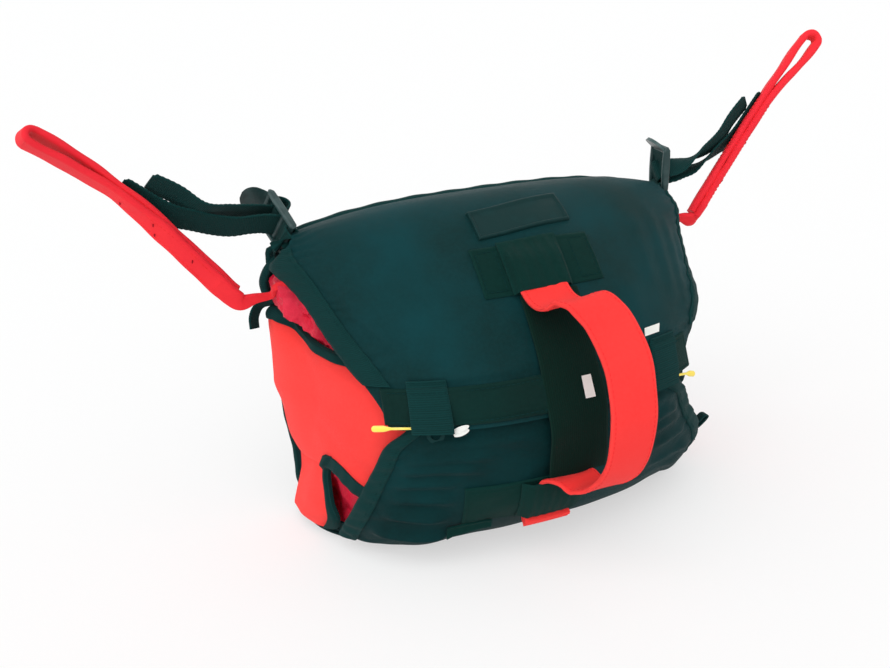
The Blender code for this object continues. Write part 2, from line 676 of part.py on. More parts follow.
for name, sign in (("left", -1.0), ("right", 1.0)):
    # Side flap with bound edges and an eyelet
    hinge = Vector((sign * HALF_WIDTH, 0.0, BELLY_HEIGHT))
    flap_hinge = name + "_side_hinge"
    pivot(flap_hinge, hinge, "container")

    def side_grid(heights, columns):
        grid = []
        for height in heights:
            s = station(height)
            edge = angle(HALF_WIDTH - table(SIDE_EDGE, height))
            grid.append([(sign * tau, s) for tau in spread(edge, BACK_ANGLE, columns)])
        return grid

    side_high = SIDE_EDGE[0][0]
    side_low = SIDE_EDGE[-1][0]
    heights = [height for height, _ in SIDE_EDGE]
    sheet(name + "_side_flap", side_grid(heights, 9), *SIDE, "red_cloth", flap_hinge)
    edge_lift = (SIDE[1] + 0.0004, SIDE[1] + 0.0004 + EYELET_WALL)
    top_rows = spread(side_high, side_high - SIDE_BINDING, 3)
    sheet(name + "_side_top_binding", side_grid(top_rows, 7), *edge_lift, "black_webbing", flap_hinge)
    low_rows = spread(side_low + SIDE_BINDING, side_low, 3)
    sheet(name + "_side_low_binding", side_grid(low_rows, 7), *edge_lift, "black_webbing", flap_hinge)
    tau = angle(sign * LOOP_PLACE)
    pin_s = station(PIN_HEIGHT)
    outward = normal(tau, pin_s)
    along = skin_base(tau - sign * 0.001, pin_s) - skin_base(tau, pin_s)
    along = (along - outward * along.dot(outward)).normalized()
    upward = outward.cross(along)
    centre = skin(tau, pin_s, PIN_LIFT)
    pin_from = centre - along * PIN_OUTER
    pin_to = centre + along * PIN_INNER
    ring = [circle(EYELET_RADIUS, 16), circle(EYELET_HOLE, 16)]
    seat = skin(tau, pin_s, LOWER[1] + SEAT + EYELET_WALL / 2.0)
    plate(name + "_lower_eyelet", ring, EYELET_WALL, frame_at(seat, along, upward), "eyelet_metal",
          "lower_flap_hinge")
    side_tau = angle(sign * (HALF_WIDTH - SIDE_EYELET_INSET))
    side_s = station(SIDE_EYELET_HEIGHT)
    side_out = normal(side_tau, side_s)
    side_up = side_out.cross(along).normalized()
    seat = skin(side_tau, side_s, SIDE[1] + SEAT + EYELET_WALL / 2.0)
    plate(name + "_side_eyelet", ring, EYELET_WALL, frame_at(seat, side_up.cross(side_out), side_up),
          "eyelet_metal", flap_hinge)

    # Pin, its loop and the guard over it
    pin_hinge = name + "_pin_slide"
    pin_middle = (pin_from + pin_to) / 2.0
    pivot(pin_hinge, pin_middle, "upper_flap_hinge")
    tip = [pin_from, pin_from + along * 0.002, pin_to]
    rod(name + "_pin", tip, PIN_RADIUS, "yellow_plastic", pin_hinge)
    cords = [centre + (outward * math.cos(turn) + upward * math.sin(turn)) * LOOP_RADIUS
             for turn in spread(0.0, 2.0 * math.pi * 15 / 16, 16)]
    rod(name + "_closing_loop", cords, LOOP_CORD, "white_cloth", "upper_flap_hinge", 6, along)
    guard_heights = spread(COVER_HIGH - 0.002, GUARD_LOW, 9)
    guard_columns = 4

    def guard_lift(extra):
        def lift(i, j):
            share = smooth((COVER_HIGH - 0.004 - guard_heights[i]) / 0.020)
            return mix(COVER[1] + 0.0006, GUARD_RISE, share) + extra
        return lift

    sheet(name + "_pin_guard", field(guard_heights, lambda h: sign * (LOOP_PLACE - GUARD_HALF_WIDTH),
                                     lambda h: sign * (LOOP_PLACE + GUARD_HALF_WIDTH), guard_columns),
          guard_lift(0.0), guard_lift(COVER_WALL), "black_webbing", "upper_flap_hinge")

    # Keeper loop and ladder-lock buckle
    place = HALF_WIDTH - ARM_INSET[name]
    keeper_edge = place - WRAP_RADIUS - WEBBING_WALL
    corner_top = BACK_HEIGHT - 0.001 - DOME_DROP * (keeper_edge / HALF_WIDTH) ** 3 * 0.87
    keeper = Vector((sign * place, -ARM_BACK, corner_top + SEAT + KEEPER_DROP))
    outer_radius = WRAP_RADIUS + WEBBING_WALL / 2.0
    inner_radius = WRAP_RADIUS - WEBBING_WALL / 2.0
    outer = [(outer_radius * math.cos(t), outer_radius * math.sin(t)) for t in spread(0.0, math.pi, 9)]
    outer += [(-outer_radius, -KEEPER_DROP), (outer_radius, -KEEPER_DROP)]
    plate(name + "_keeper_loop", [outer, circle(inner_radius, 14)], WEBBING_WIDTH,
          frame_at(keeper, (1, 0, 0), (0, 0, 1)), "black_webbing", "container")
    buckle_pivot = name + "_buckle_pivot"
    pivot(buckle_pivot, keeper, "container")
    tilt = BUCKLE_TILT[name]
    rise = Vector((sign * math.sin(tilt), 0.0, math.cos(tilt)))
    low = -BAR_HALF
    slot_half = BUCKLE_HALF_WIDTH - BUCKLE_RAIL
    rim = rounded(BUCKLE_HALF_WIDTH, low, low + BUCKLE_LENGTH, 0.006)
    first = rounded(slot_half, BAR_HALF, BAR_PITCH - BAR_HALF, 0.001, 2)
    second = rounded(slot_half, BAR_PITCH + BAR_HALF, BAR_PITCH * 2.2 - BAR_HALF, 0.001, 2)
    plate(name + "_buckle", [rim, first, second], BUCKLE_WALL, frame_at(keeper, (0, 1, 0), rise),
          "dark_plastic", buckle_pivot)

    # Riser arm with a webbing eye
    arm_pivot = name + "_arm_pivot"
    bar = keeper + rise * BAR_PITCH
    pivot(arm_pivot, bar, buckle_pivot)
    beyond, depth, height = RISER_BEND[name]
    bend = Vector((sign * (HALF_WIDTH + beyond), depth, height))
    beyond, depth, height = RISER_TIP[name]
    end = Vector((sign * (HALF_WIDTH + beyond), depth, height))
    run = (end - bend).length
    axis = (end - bend).normalized()
    thick = (Vector((0.0, 1.0, 0.0)) - axis * axis.y).normalized()
    wide = axis.cross(thick)
    if wide.z < 0.0:
        wide = -wide
    half_wall = RISER_WALL / 2.0
    half_eye = EYE_GAP / 2.0 + EYE_LEG
    eye_turn = run - half_eye
    side_line = [(0.0, half_wall), (EYE_START * 0.5, half_wall), (EYE_START, half_wall)]
    for share in spread(0.2, 1.0, 6):
        side_line.append((mix(EYE_START, eye_turn, share), mix(half_wall, half_eye, smooth(share))))
    cap = []
    for turn in spread(90.0, -90.0, 13)[1:-1]:
        turn = math.radians(turn)
        cap.append((eye_turn + half_eye * math.cos(turn), half_eye * math.sin(turn)))
    outline = side_line + cap + [(a, -b) for a, b in reversed(side_line)]
    hole_line = []
    for share in spread(0.2, 1.0, 6):
        gap = mix(half_wall, half_eye, smooth(share)) - EYE_LEG
        hole_line.append((mix(EYE_START, eye_turn, share), max(0.0008, gap)))
    hole_cap = []
    for turn in spread(90.0, -90.0, 9)[1:-1]:
        turn = math.radians(turn)
        gap = half_eye - EYE_LEG
        hole_cap.append((eye_turn + gap * math.cos(turn), gap * math.sin(turn)))
    hole = hole_line + hole_cap + [(a, -b) for a, b in reversed(hole_line)]
    plate(name + "_riser", [outline, hole], RISER_WIDTH, frame_at(bend, axis, thick), "red_webbing",
          arm_pivot)

    # Strap round the buckle bar, sewn to the riser's back face
    back_off = half_wall + 2.0 * SEAT + WEBBING_WALL / 2.0
    seam = thick * back_off + wide * SEW_RAISE
    sewn = [bend + axis * d + seam for d in (EYE_START - 0.002, mix(EYE_START, SEW_START, 0.5), SEW_START)]
    out = Vector((sewn[2].x - bar.x, 0.0, sewn[2].z - bar.z)).normalized()
    over = Vector((-out.z, 0.0, out.x)) * sign
    across = Vector((0.0, 1.0, 0.0))
    lower_ply = [(sewn[0], wide), (sewn[1], wide), (sewn[2], wide)]
    exit_low = bar + out * 0.012 - over * WRAP_RADIUS
    for share, twist, sag in ((0.22, 0.8, 0.004), (0.45, 0.55, 0.008), (0.68, 0.3, 0.008), (0.88, 0.1, 0.003)):
        point = sewn[2].lerp(exit_low, share) - over * sag + thick * 0.0015
        lower_ply.append((point, wide * twist + across * (1.0 - twist)))
    lower_ply.append((exit_low, across))
    wrap = []
    for turn in spread(-90.0, -270.0, 9):
        turn = math.radians(turn)
        wrap.append((bar + (out * math.cos(turn) + over * math.sin(turn)) * WRAP_RADIUS, across))
    exit_high = bar + out * 0.012 + over * WRAP_RADIUS
    tail_end = bend + axis * 0.100 + thick * (back_off + 0.004) + wide * 0.024
    upper_ply = [(exit_high, across)]
    for share, twist, rise_by in ((0.2, 0.1, 0.0), (0.4, 0.3, 0.001), (0.6, 0.5, 0.002), (0.8, 0.7, 0.002)):
        point = exit_high.lerp(tail_end, share) + over * rise_by
        upper_ply.append((point, wide * twist + across * (1.0 - twist)))
    upper_ply.append((tail_end, wide * 0.85 + across * 0.15))
    ribbon(name + "_strap", lower_ply + wrap + upper_ply, WEBBING_WIDTH, WEBBING_WALL, "black_webbing",
           arm_pivot)

    # Riser tail into the container
    entry_s = station(TAIL_ENTRY)
    entry = angle(sign * (HALF_WIDTH - TAIL_INSET))
    inside = skin(entry, entry_s, -POD_DEPTH + TAIL_WALL / 2.0 + 0.002)
    mouth = skin(entry, entry_s, -0.001)
    outer_end = bend - axis * (2.0 * SEAT)
    elbow = bend - axis * 0.010 - wide * 0.001
    flat = wide.lerp(Vector((0.0, 0.0, 1.0)), 0.5)
    tail = [(inside, (0.0, 0.0, 1.0)), (mouth, (0.0, 0.0, 1.0)), (mouth.lerp(elbow, 0.55), flat),
            (elbow, wide), (bend - axis * 0.005, wide), (outer_end, wide)]
    ribbon(name + "_riser_tail", tail, TAIL_WIDTH, TAIL_WALL, "red_webbing", arm_pivot)
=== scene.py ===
"""Looks of a front-mounted reserve parachute container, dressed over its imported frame."""
import json
import logging
import math
from dataclasses import dataclass
from enum import Enum

import bpy
import numpy as np
from mathutils import Matrix

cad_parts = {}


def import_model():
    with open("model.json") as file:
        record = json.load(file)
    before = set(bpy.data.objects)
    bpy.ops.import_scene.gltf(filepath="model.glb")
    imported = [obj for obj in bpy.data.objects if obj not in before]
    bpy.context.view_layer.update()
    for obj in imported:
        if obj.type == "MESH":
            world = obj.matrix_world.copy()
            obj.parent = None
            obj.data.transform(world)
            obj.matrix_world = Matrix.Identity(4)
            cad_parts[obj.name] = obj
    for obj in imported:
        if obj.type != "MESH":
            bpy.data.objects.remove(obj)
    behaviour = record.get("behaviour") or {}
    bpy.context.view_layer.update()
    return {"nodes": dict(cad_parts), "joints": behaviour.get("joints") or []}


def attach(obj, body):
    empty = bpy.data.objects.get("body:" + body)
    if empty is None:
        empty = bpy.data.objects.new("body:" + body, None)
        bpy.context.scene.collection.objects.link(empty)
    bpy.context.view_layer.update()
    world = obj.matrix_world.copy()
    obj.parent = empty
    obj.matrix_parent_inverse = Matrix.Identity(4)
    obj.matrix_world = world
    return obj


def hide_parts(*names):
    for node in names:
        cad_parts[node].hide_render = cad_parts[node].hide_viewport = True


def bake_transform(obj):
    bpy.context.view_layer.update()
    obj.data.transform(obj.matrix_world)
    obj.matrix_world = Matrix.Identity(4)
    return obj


Array = np.ndarray
Triple = tuple[float, float, float]
Table = tuple[tuple[float, ...], ...]
Socket = bpy.types.NodeSocket
log = logging.getLogger("container_looks")
TEN_THOUSAND = 10000
RIGHT, BACK, UP = np.eye(3)
WHITE = (1.0, 1.0, 1.0, 1.0)
GAP = 0.0003
SINK = 0.0002
THIN = 0.0004
BINDING_WALL = 0.0012
PATCH_WALL = 0.0014
STITCH_RISE = 0.0016
INNER_TURN = math.radians(84.0)
POD_TURN = math.radians(89.0)
PACK_GIRTH = 0.17


class Side(Enum):
    """Side of the container as the viewer sees its front."""

    LEFT = -1.0
    RIGHT = 1.0

    @property
    def word(self) -> str:
        """Side as it stands in piece names."""
        return self.name.lower()


def clamp(share: Array) -> Array:
    """Share held between 0 and 1."""
    return np.clip(share, 0.0, 1.0)


def shares(count: int) -> Array:
    """Even shares from 0 to 1."""
    return np.linspace(0.0, 1.0, count)


def ease(share: Array) -> Array:
    """Smooth step from 0 to 1."""
    share = clamp(share)
    return share * share * (3.0 - 2.0 * share)


def step_up(value: Array, start: float, width: float) -> Array:
    """Smooth step up, from 0 at a start to 1 a width past it."""
    return ease((value - start) / width)


def step_down(value: Array, end: float, width: float) -> Array:
    """Smooth step down, from 1 a width before an end to 0 at it."""
    return ease((end - value) / width)


def mix(first: Array, last: Array, share: Array) -> Array:
    """Straight blend of two values."""
    return first + (last - first) * share


def unit(rays: Array) -> Array:
    """Rays scaled to length one."""
    return rays / np.maximum(np.linalg.norm(rays, axis=-1, keepdims=True), 1e-12)


def hermite(knots: Array, values: Array, where: Array) -> Array:
    """Cubic curve through values at rising knots, with slopes taken from the neighbours.

    Args:
        knots: Rising parameter of each value.
        values: Numbers or points, one per knot.
        where: Parameters to read.

    Returns:
        The curve at each parameter.
    """
    knots = np.asarray(knots, float)
    values = np.asarray(values, float)
    slopes = np.gradient(values, knots, axis=0)
    where = np.clip(where, knots[0], knots[-1])
    k = np.clip(np.searchsorted(knots, where, side="right") - 1, 0, len(knots) - 2)
    span = knots[k + 1] - knots[k]
    t = (where - knots[k]) / span
    if values.ndim > 1:
        span = span[..., None]
        t = t[..., None]
    first = (2.0 * t - 3.0) * t * t + 1.0
    lean_first = ((t - 2.0) * t + 1.0) * t * span
    lean_last = (t - 1.0) * t * t * span
    near = first * values[k] + lean_first * slopes[k]
    return near + (1.0 - first) * values[k + 1] + lean_last * slopes[k + 1]


def bell(offset: Array, width: float) -> Array:
    """Bell curve: one at no offset, 1/e at an offset of the width."""
    return np.exp(-(offset / width) ** 2)


def chord(points: Array) -> Array:
    """Distance of each point along their line, from the first."""
    return np.concatenate([[0.0], np.cumsum(np.linalg.norm(np.diff(points, axis=0), axis=1))])


def smooth_line(points: Array, count: int) -> Array:
    """Smooth curve through points at even chord steps."""
    points = np.asarray(points, float)
    run = chord(points[:, :3])
    return hermite(run, points, np.linspace(0.0, run[-1], count))


def tenths(*rows: tuple[int, ...]) -> Table:
    """Rows given in ten-thousandths, which for lengths are tenths of a millimetre."""
    return tuple(tuple(value / TEN_THOUSAND for value in row) for row in rows)


def edge_table(pairs: Table, height: Array) -> Array:
    """Value at a height from (height, value) pairs that fall in height."""
    table = np.array(pairs[::-1])
    return hermite(table[:, 0], table[:, 1], height)


@dataclass(frozen=True)
class Crumple:
    """Seeded sum of plane waves, the random part of a crease pattern."""

    seed: int
    pitch: float
    waves: int = 10

    def field(self, u: Array, v: Array) -> Array:
        """Height of about one either way: the mean of cosines along random directions.

        Args:
            u: First surface coordinate in metres.
            v: Second surface coordinate in metres.

        Returns:
            Heights of the same shape.
        """
        draw = np.random.default_rng(self.seed)
        turn = draw.uniform(0.0, 2.0 * math.pi, self.waves)
        size = 2.0 * math.pi / self.pitch * draw.uniform(0.6, 1.5, self.waves)
        phase = draw.uniform(0.0, 2.0 * math.pi, self.waves)
        u = np.asarray(u)[..., None]
        v = np.asarray(v)[..., None]
        waves = np.cos(size * (u * np.cos(turn) + v * np.sin(turn)) + phase)
        return waves.sum(-1) / math.sqrt(self.waves * 0.5)


@dataclass(frozen=True)
class Fold:
    """Soft crease over a flap, from one (x, height) place to another."""

    start_x: float
    start_height: float
    end_x: float
    end_height: float
    width: float
    rise: float
    bow: float = 0.0

    def lift(self, x: Array, height: Array) -> Array:
        """Bell across the crease, fading towards both its ends; bow bends its line."""
        wide, tall = self.end_x - self.start_x, self.end_height - self.start_height
        length = np.linalg.norm((wide, tall))
        x, height = x - self.start_x, height - self.start_height
        along = (x * wide + height * tall) / length ** 2
        off = (x * -tall + height * wide) / length - self.bow * 4.0 * along * (1.0 - along)
        fade = ease((along + 0.15) / 0.35) * step_down(along, 1.15, 0.35)
        return self.rise * bell(off, self.width) * fade


def folds_lift(rows: Table, x: Array, height: Array) -> Array:
    """Sum of the creases, each a row of a Fold's values, at each place."""
    return sum((Fold(*row).lift(x, height) for row in rows), np.zeros(np.broadcast(x, height).shape))


@dataclass(frozen=True)
class ContainerForm:
    """Curved skin of the container as a function of a turn about +Z and a station down its profile."""

    half_width: float = 0.173
    squareness: float = 2.5
    back_height: float = 0.25
    crown_reach: float = 0.04
    crown_height: float = 0.258
    belly_reach: float = 0.167
    belly_height: float = 0.108
    foot_reach: float = 0.103
    dome_drop: float = 0.022
    top_pull: float = 0.015
    shoulder_pull: float = 0.05
    belly_pull: float = 0.058
    foot_pull: float = 0.045
    back_turn: float = math.radians(89.99)
    step: float = 0.00005

    def arcs(self) -> Array:
        """Control points (reach, height) of the four arcs: back to crown, belly, foot and back again."""
        near_crown = mix(self.back_height, self.crown_height, 0.7)
        crown = (self.crown_reach, self.crown_height)
        belly = (self.belly_reach, self.belly_height)
        foot = (self.foot_reach, 0.0)
        return np.array([
            [(0.0, self.back_height), (self.top_pull, near_crown),
             (self.crown_reach - self.top_pull, self.crown_height), crown],
            [crown, (self.crown_reach + self.shoulder_pull, self.crown_height),
             (self.belly_reach, self.belly_height + self.shoulder_pull), belly],
            [belly, (self.belly_reach, self.belly_height - self.belly_pull),
             (self.foot_reach + self.foot_pull, 0.0), foot],
            [foot, (self.foot_reach * 2.0 / 3.0, 0.0), (self.foot_reach / 3.0, 0.0), (0.0, 0.0)],
        ])

    def profile(self, station: Array) -> tuple[Array, Array]:
        """Reach and height of the centre line, one cubic arc per whole station."""
        station = np.asarray(station, float)
        arc = np.clip(np.floor(station), 0, 3).astype(int)
        t = (station - arc)[..., None]
        u = 1.0 - t
        a = self.arcs()[arc]
        place = u ** 3 * a[..., 0, :] + 3 * u * u * t * a[..., 1, :]
        place = place + 3 * u * t * t * a[..., 2, :] + t ** 3 * a[..., 3, :]
        return place[..., 0], place[..., 1]

    def station_at(self, height: Array) -> Array:
        """Station on the front of the profile at a centre height."""
        stations = np.linspace(1.0, 3.0, 1601)
        return np.interp(height, self.profile(stations)[1][::-1], stations[::-1])

    def turn_at(self, x: Array) -> Array:
        """Turn at which the skin has this x."""
        share = np.minimum(1.0, np.abs(x) / self.half_width)
        return np.sign(x) * np.arcsin(share ** (self.squareness / 2.0))

    def across(self, turn: Array) -> Array:
        """Share of the half width at a turn: the superellipse's own sine."""
        return np.sign(turn) * np.abs(np.sin(turn)) ** (2.0 / self.squareness)

    def point(self, turn: Array, station: Array) -> Array:
        """Skin point: a superellipse round the profile, dropped a little towards the upper corners."""
        reach, height = self.profile(station)
        side = self.across(turn)
        front = np.abs(np.cos(turn)) ** (2.0 / self.squareness)
        rise = (height - self.belly_height) / (self.crown_height - self.belly_height)
        drop = self.dome_drop * np.abs(side) ** 3 * np.maximum(0.0, rise) ** 2
        return np.stack(np.broadcast_arrays(self.half_width * side, -reach * front, height - drop), -1)

    def normal(self, turn: Array, station: Array) -> Array:
        """Outward direction from small steps both ways over the skin."""
        station = np.clip(station, 0.002, 3.998)
        across = self.point(turn + self.step, station) - self.point(turn - self.step, station)
        flat = np.abs(np.broadcast_to(turn, across.shape[:-1]))[..., None] < 0.01
        across = np.where(flat, RIGHT, across)
        down = self.point(turn, station + 0.002) - self.point(turn, station - 0.002)
        return unit(np.cross(down, across))

    def surface(self, turn: Array, station: Array, lift: Array) -> Array:
        """Skin point raised by a lift along its normal."""
        lift = np.asarray(lift, float)[..., None]
        return self.point(turn, station) + self.normal(turn, station) * lift

    def at(self, x: Array, height: Array, lift: Array) -> Array:
        """Front surface point from x, centre height and lift."""
        x, height, lift = np.broadcast_arrays(x, height, lift)
        return self.surface(self.turn_at(x), self.station_at(height), lift)


FORM = ContainerForm()


@dataclass
class Shape:
    """Mesh under construction: points, faces, a chart in metres and the distance to the nearest edge."""

    points: Array
    quads: Array
    fans: Array
    chart: Array
    edge: Array

    def outward(self) -> "Shape":
        """Turn the faces round where the closed shape's volume is negative."""
        a, b, c, d = (self.points[self.quads[:, k]] for k in range(4))
        volume = np.einsum("ij,ij->", a, np.cross(b, c)) + np.einsum("ij,ij->", a, np.cross(c, d))
        if len(self.fans):
            a, b, c = (self.points[self.fans[:, k]] for k in range(3))
            volume += np.einsum("ij,ij->", a, np.cross(b, c))
        if volume < 0.0:
            self.quads = self.quads[:, ::-1]
            self.fans = self.fans[:, ::-1]
        return self


def gathered(shapes: list[Shape]) -> Shape:
    """Several shapes as one mesh of separate shells."""
    starts = np.cumsum([0] + [len(shape.points) for shape in shapes[:-1]])
    moves = {"points": 0, "quads": starts, "fans": starts, "chart": 0, "edge": 0}
    return Shape(**{
        name: np.concatenate([getattr(shape, name) + by for shape, by in zip(shapes, move + 0 * starts)])
        for name, move in moves.items()})


def grid_quads(rows: int, columns: int, ring: bool = False, loop: bool = False) -> Array:
    """Quads of a grid, closed across its columns as a ring or along its rows as a loop."""
    i, j = np.ogrid[:rows if loop else rows - 1, :columns if ring else columns - 1]
    down = (i + 1) % rows
    right = (j + 1) % columns
    corners = (i * columns + j, i * columns + right, down * columns + right, down * columns + j)
    return np.stack(np.broadcast_arrays(*corners), -1).reshape(-1, 4)


def run_length(grid: Array, axis: int) -> Array:
    """Distance along one direction of a grid of points."""
    steps = np.linalg.norm(np.diff(grid, axis=axis), axis=-1)
    total = np.cumsum(steps, axis=axis)
    start = np.zeros_like(np.take(total, [0], axis=axis))
    return np.concatenate([start, total], axis=axis)


def slab(over: Array, under: Array) -> Shape:
    """Closed cloth piece between an outer and an inner grid of points.

    Args:
        over: Outer grid, rows by columns by 3.
        under: Inner grid of the same shape.

    Returns:
        The closed shape, with its chart measured along the outer grid.
    """
    rows, columns = over.shape[:2]
    count = rows * columns
    face = grid_quads(rows, columns)
    rim = np.concatenate([
        np.arange(columns), np.arange(1, rows) * columns + columns - 1,
        (rows - 1) * columns + np.arange(columns - 2, -1, -1), np.arange(rows - 2, 0, -1) * columns,
    ])
    after = np.roll(rim, -1)
    walls = np.stack([after, rim, rim + count, after + count], -1)
    across = run_length(over, 1)
    down = run_length(over, 0)
    edge = np.minimum(np.minimum(across, across[:, -1:] - across), np.minimum(down, down[-1:] - down))
    chart = np.stack([across - across[:, -1:] / 2.0, down], -1).reshape(-1, 2)
    return Shape(
        np.concatenate([over.reshape(-1, 3), under.reshape(-1, 3)]),
        np.concatenate([face, face[:, ::-1] + count, walls]),
        np.zeros((0, 3), int),
        np.concatenate([chart, chart]),
        np.concatenate([edge.ravel(), edge.ravel()]),
    ).outward()


def skin_slab(turn: Array, station: Array, over: Array, under: Array) -> Shape:
    """Closed cloth piece between two lifts at turns and stations of the skin."""
    return slab(FORM.surface(turn, station, over), FORM.surface(turn, station, under))


def front_slab(x: Array, height: Array, over: Array, under: Array) -> Shape:
    """Closed cloth piece between two lifts at places on the front."""
    return slab(FORM.at(x, height, over), FORM.at(x, height, under))


def bound(turn: Array, station: Array, over: Array, under: Array) -> Shape:
    """Cloth piece between two lifts that is nowhere thinner than a bound edge."""
    return skin_slab(turn, station, over, np.minimum(under, over - THIN))


def sweep(path: Array, across: Array, profile: Array, scale: Array | float = 1.0,
          loop: bool = False) -> Shape:
    """Carry a closed profile along a path, with caps unless the path is a loop.

    Args:
        path: Points along the middle, n by 3.
        across: Width direction at each point, or one for all.
        profile: Closed outline in (width, thickness), m by 2.
        scale: Factor on the profile, one number or n by 1 or n by 2.
        loop: Whether the path closes on itself.

    Returns:
        The closed shape, charted by the way round the profile and along the path.
    """
    count, sides = len(path), len(profile)
    if loop:
        along = unit(np.roll(path, -1, axis=0) - np.roll(path, 1, axis=0))
    else:
        along = unit(np.gradient(path, axis=0))
    side = np.broadcast_to(np.asarray(across, float), path.shape)
    side = unit(side - along * np.einsum("ij,ij->i", side, along)[:, None])
    over = np.cross(along, side)
    sized = profile[None] * np.broadcast_to(np.asarray(scale, float), (count, 2))[:, None]
    grid = path[:, None] + sized[..., :1] * side[:, None] + sized[..., 1:] * over[:, None]
    chart = np.stack(np.broadcast_arrays(chord(profile)[None], chord(path)[:, None]), -1).reshape(-1, 2)
    rim = np.abs(profile[:, 0]).max() - np.abs(profile[:, 0])
    edge = np.broadcast_to(rim[None], (count, sides)).ravel()
    points = grid.reshape(-1, 3)
    fans = np.zeros((0, 3), int)
    if not loop:
        ring = np.arange(sides)
        ends = np.stack([path[0], path[-1]])
        first = np.stack([np.roll(ring, -1), ring, np.full(sides, len(points))], -1)
        last_ring = ring + (count - 1) * sides
        last = np.stack([last_ring, np.roll(last_ring, -1), np.full(sides, len(points) + 1)], -1)
        fans = np.concatenate([first, last])
        points = np.concatenate([points, ends])
        chart = np.concatenate([chart, chart[[0, -1]]])
        edge = np.concatenate([edge, [0.0, 0.0]])
    return Shape(points, grid_quads(count, sides, ring=True, loop=loop), fans, chart, edge).outward()


def stadium(width: float, wall: float, flats: int = 12, bends: int = 5, crown: float = 0.0) -> Array:
    """Outline of a flat strap with round edges, starting at the middle of one edge.

    Args:
        width: Full width.
        wall: Full thickness.
        flats: Points along each flat.
        bends: Points along each round edge.
        crown: How far the middle stands above the edges.

    Returns:
        Closed outline, m by 2.
    """
    half = wall / 2.0
    reach = width / 2.0 - half
    turn = np.linspace(-0.5, 0.5, bends) * math.pi
    right = np.stack([reach + half * np.cos(turn), half * np.sin(turn)], -1)
    top = np.stack([np.linspace(reach, -reach, flats + 2)[1:-1], np.full(flats, half)], -1)
    outline = np.concatenate([right, top, -right, -top])
    outline = np.roll(outline, -(bends + flats + bends // 2), axis=0)
    outline[:, 1] += crown * (1.0 - (outline[:, 0] * 2.0 / width) ** 2)
    return outline


def ellipse(wide: float, thick: float, sides: int = 12) -> Array:
    """Outline of a round or oval section."""
    turn = np.arange(sides) * 2.0 * math.pi / sides
    return np.stack([wide * np.cos(turn), thick * np.sin(turn)], -1)


def stitched(points: Array, normals: Array, length: float = 0.0026, gap: float = 0.0011,
             radius: float = 0.00028) -> Shape:
    """Row of thread stitches along a line, each a small spindle sunk by half.

    Args:
        points: Line on the surface, n by 3.
        normals: Outward direction at each point.
        length: Length of a stitch.
        gap: Space between stitches.
        radius: Thread radius.

    Returns:
        All the stitches as one shape.
    """
    run = chord(points)
    starts = np.arange(gap, run[-1] - length, length + gap)
    stations = starts[:, None] + length * np.array((0.0, 0.2, 0.8, 1.0))
    line = np.stack([np.interp(stations, run, points[:, k]) for k in range(3)], -1)
    out = unit(np.stack([np.interp(stations, run, normals[:, k]) for k in range(3)], -1))
    along = unit(line[:, -1:] - line[:, :1])
    side = unit(np.cross(along, out))
    turn = np.arange(6) * math.pi / 3.0
    girth = radius * np.array((0.25, 1.0, 1.0, 0.25))[None, :, None, None]
    turn = turn[:, None]
    grid = line[:, :, None] + (np.cos(turn) * side[:, :, None] + np.sin(turn) * out[:, :, None]) * girth
    ends = np.array([(5, 4, 3, 2), (5, 2, 1, 0), (18, 19, 20, 21), (18, 21, 22, 23)])
    first = (np.arange(len(starts)) * 24)[:, None, None]
    quads = np.concatenate([(each + first).reshape(-1, 4) for each in (grid_quads(4, 6, ring=True), ends)])
    points = grid.reshape(-1, 3)
    no_fans = np.zeros((0, 3), int)
    return Shape(points, quads, no_fans, np.zeros((len(points), 2)), np.ones(len(points))).outward()


def front_seam(x: Array, height: Array, lift: Array) -> Shape:
    """Row of stitches along places on the front."""
    return stitched(FORM.at(x, height, lift), FORM.normal(FORM.turn_at(x), FORM.station_at(height)))


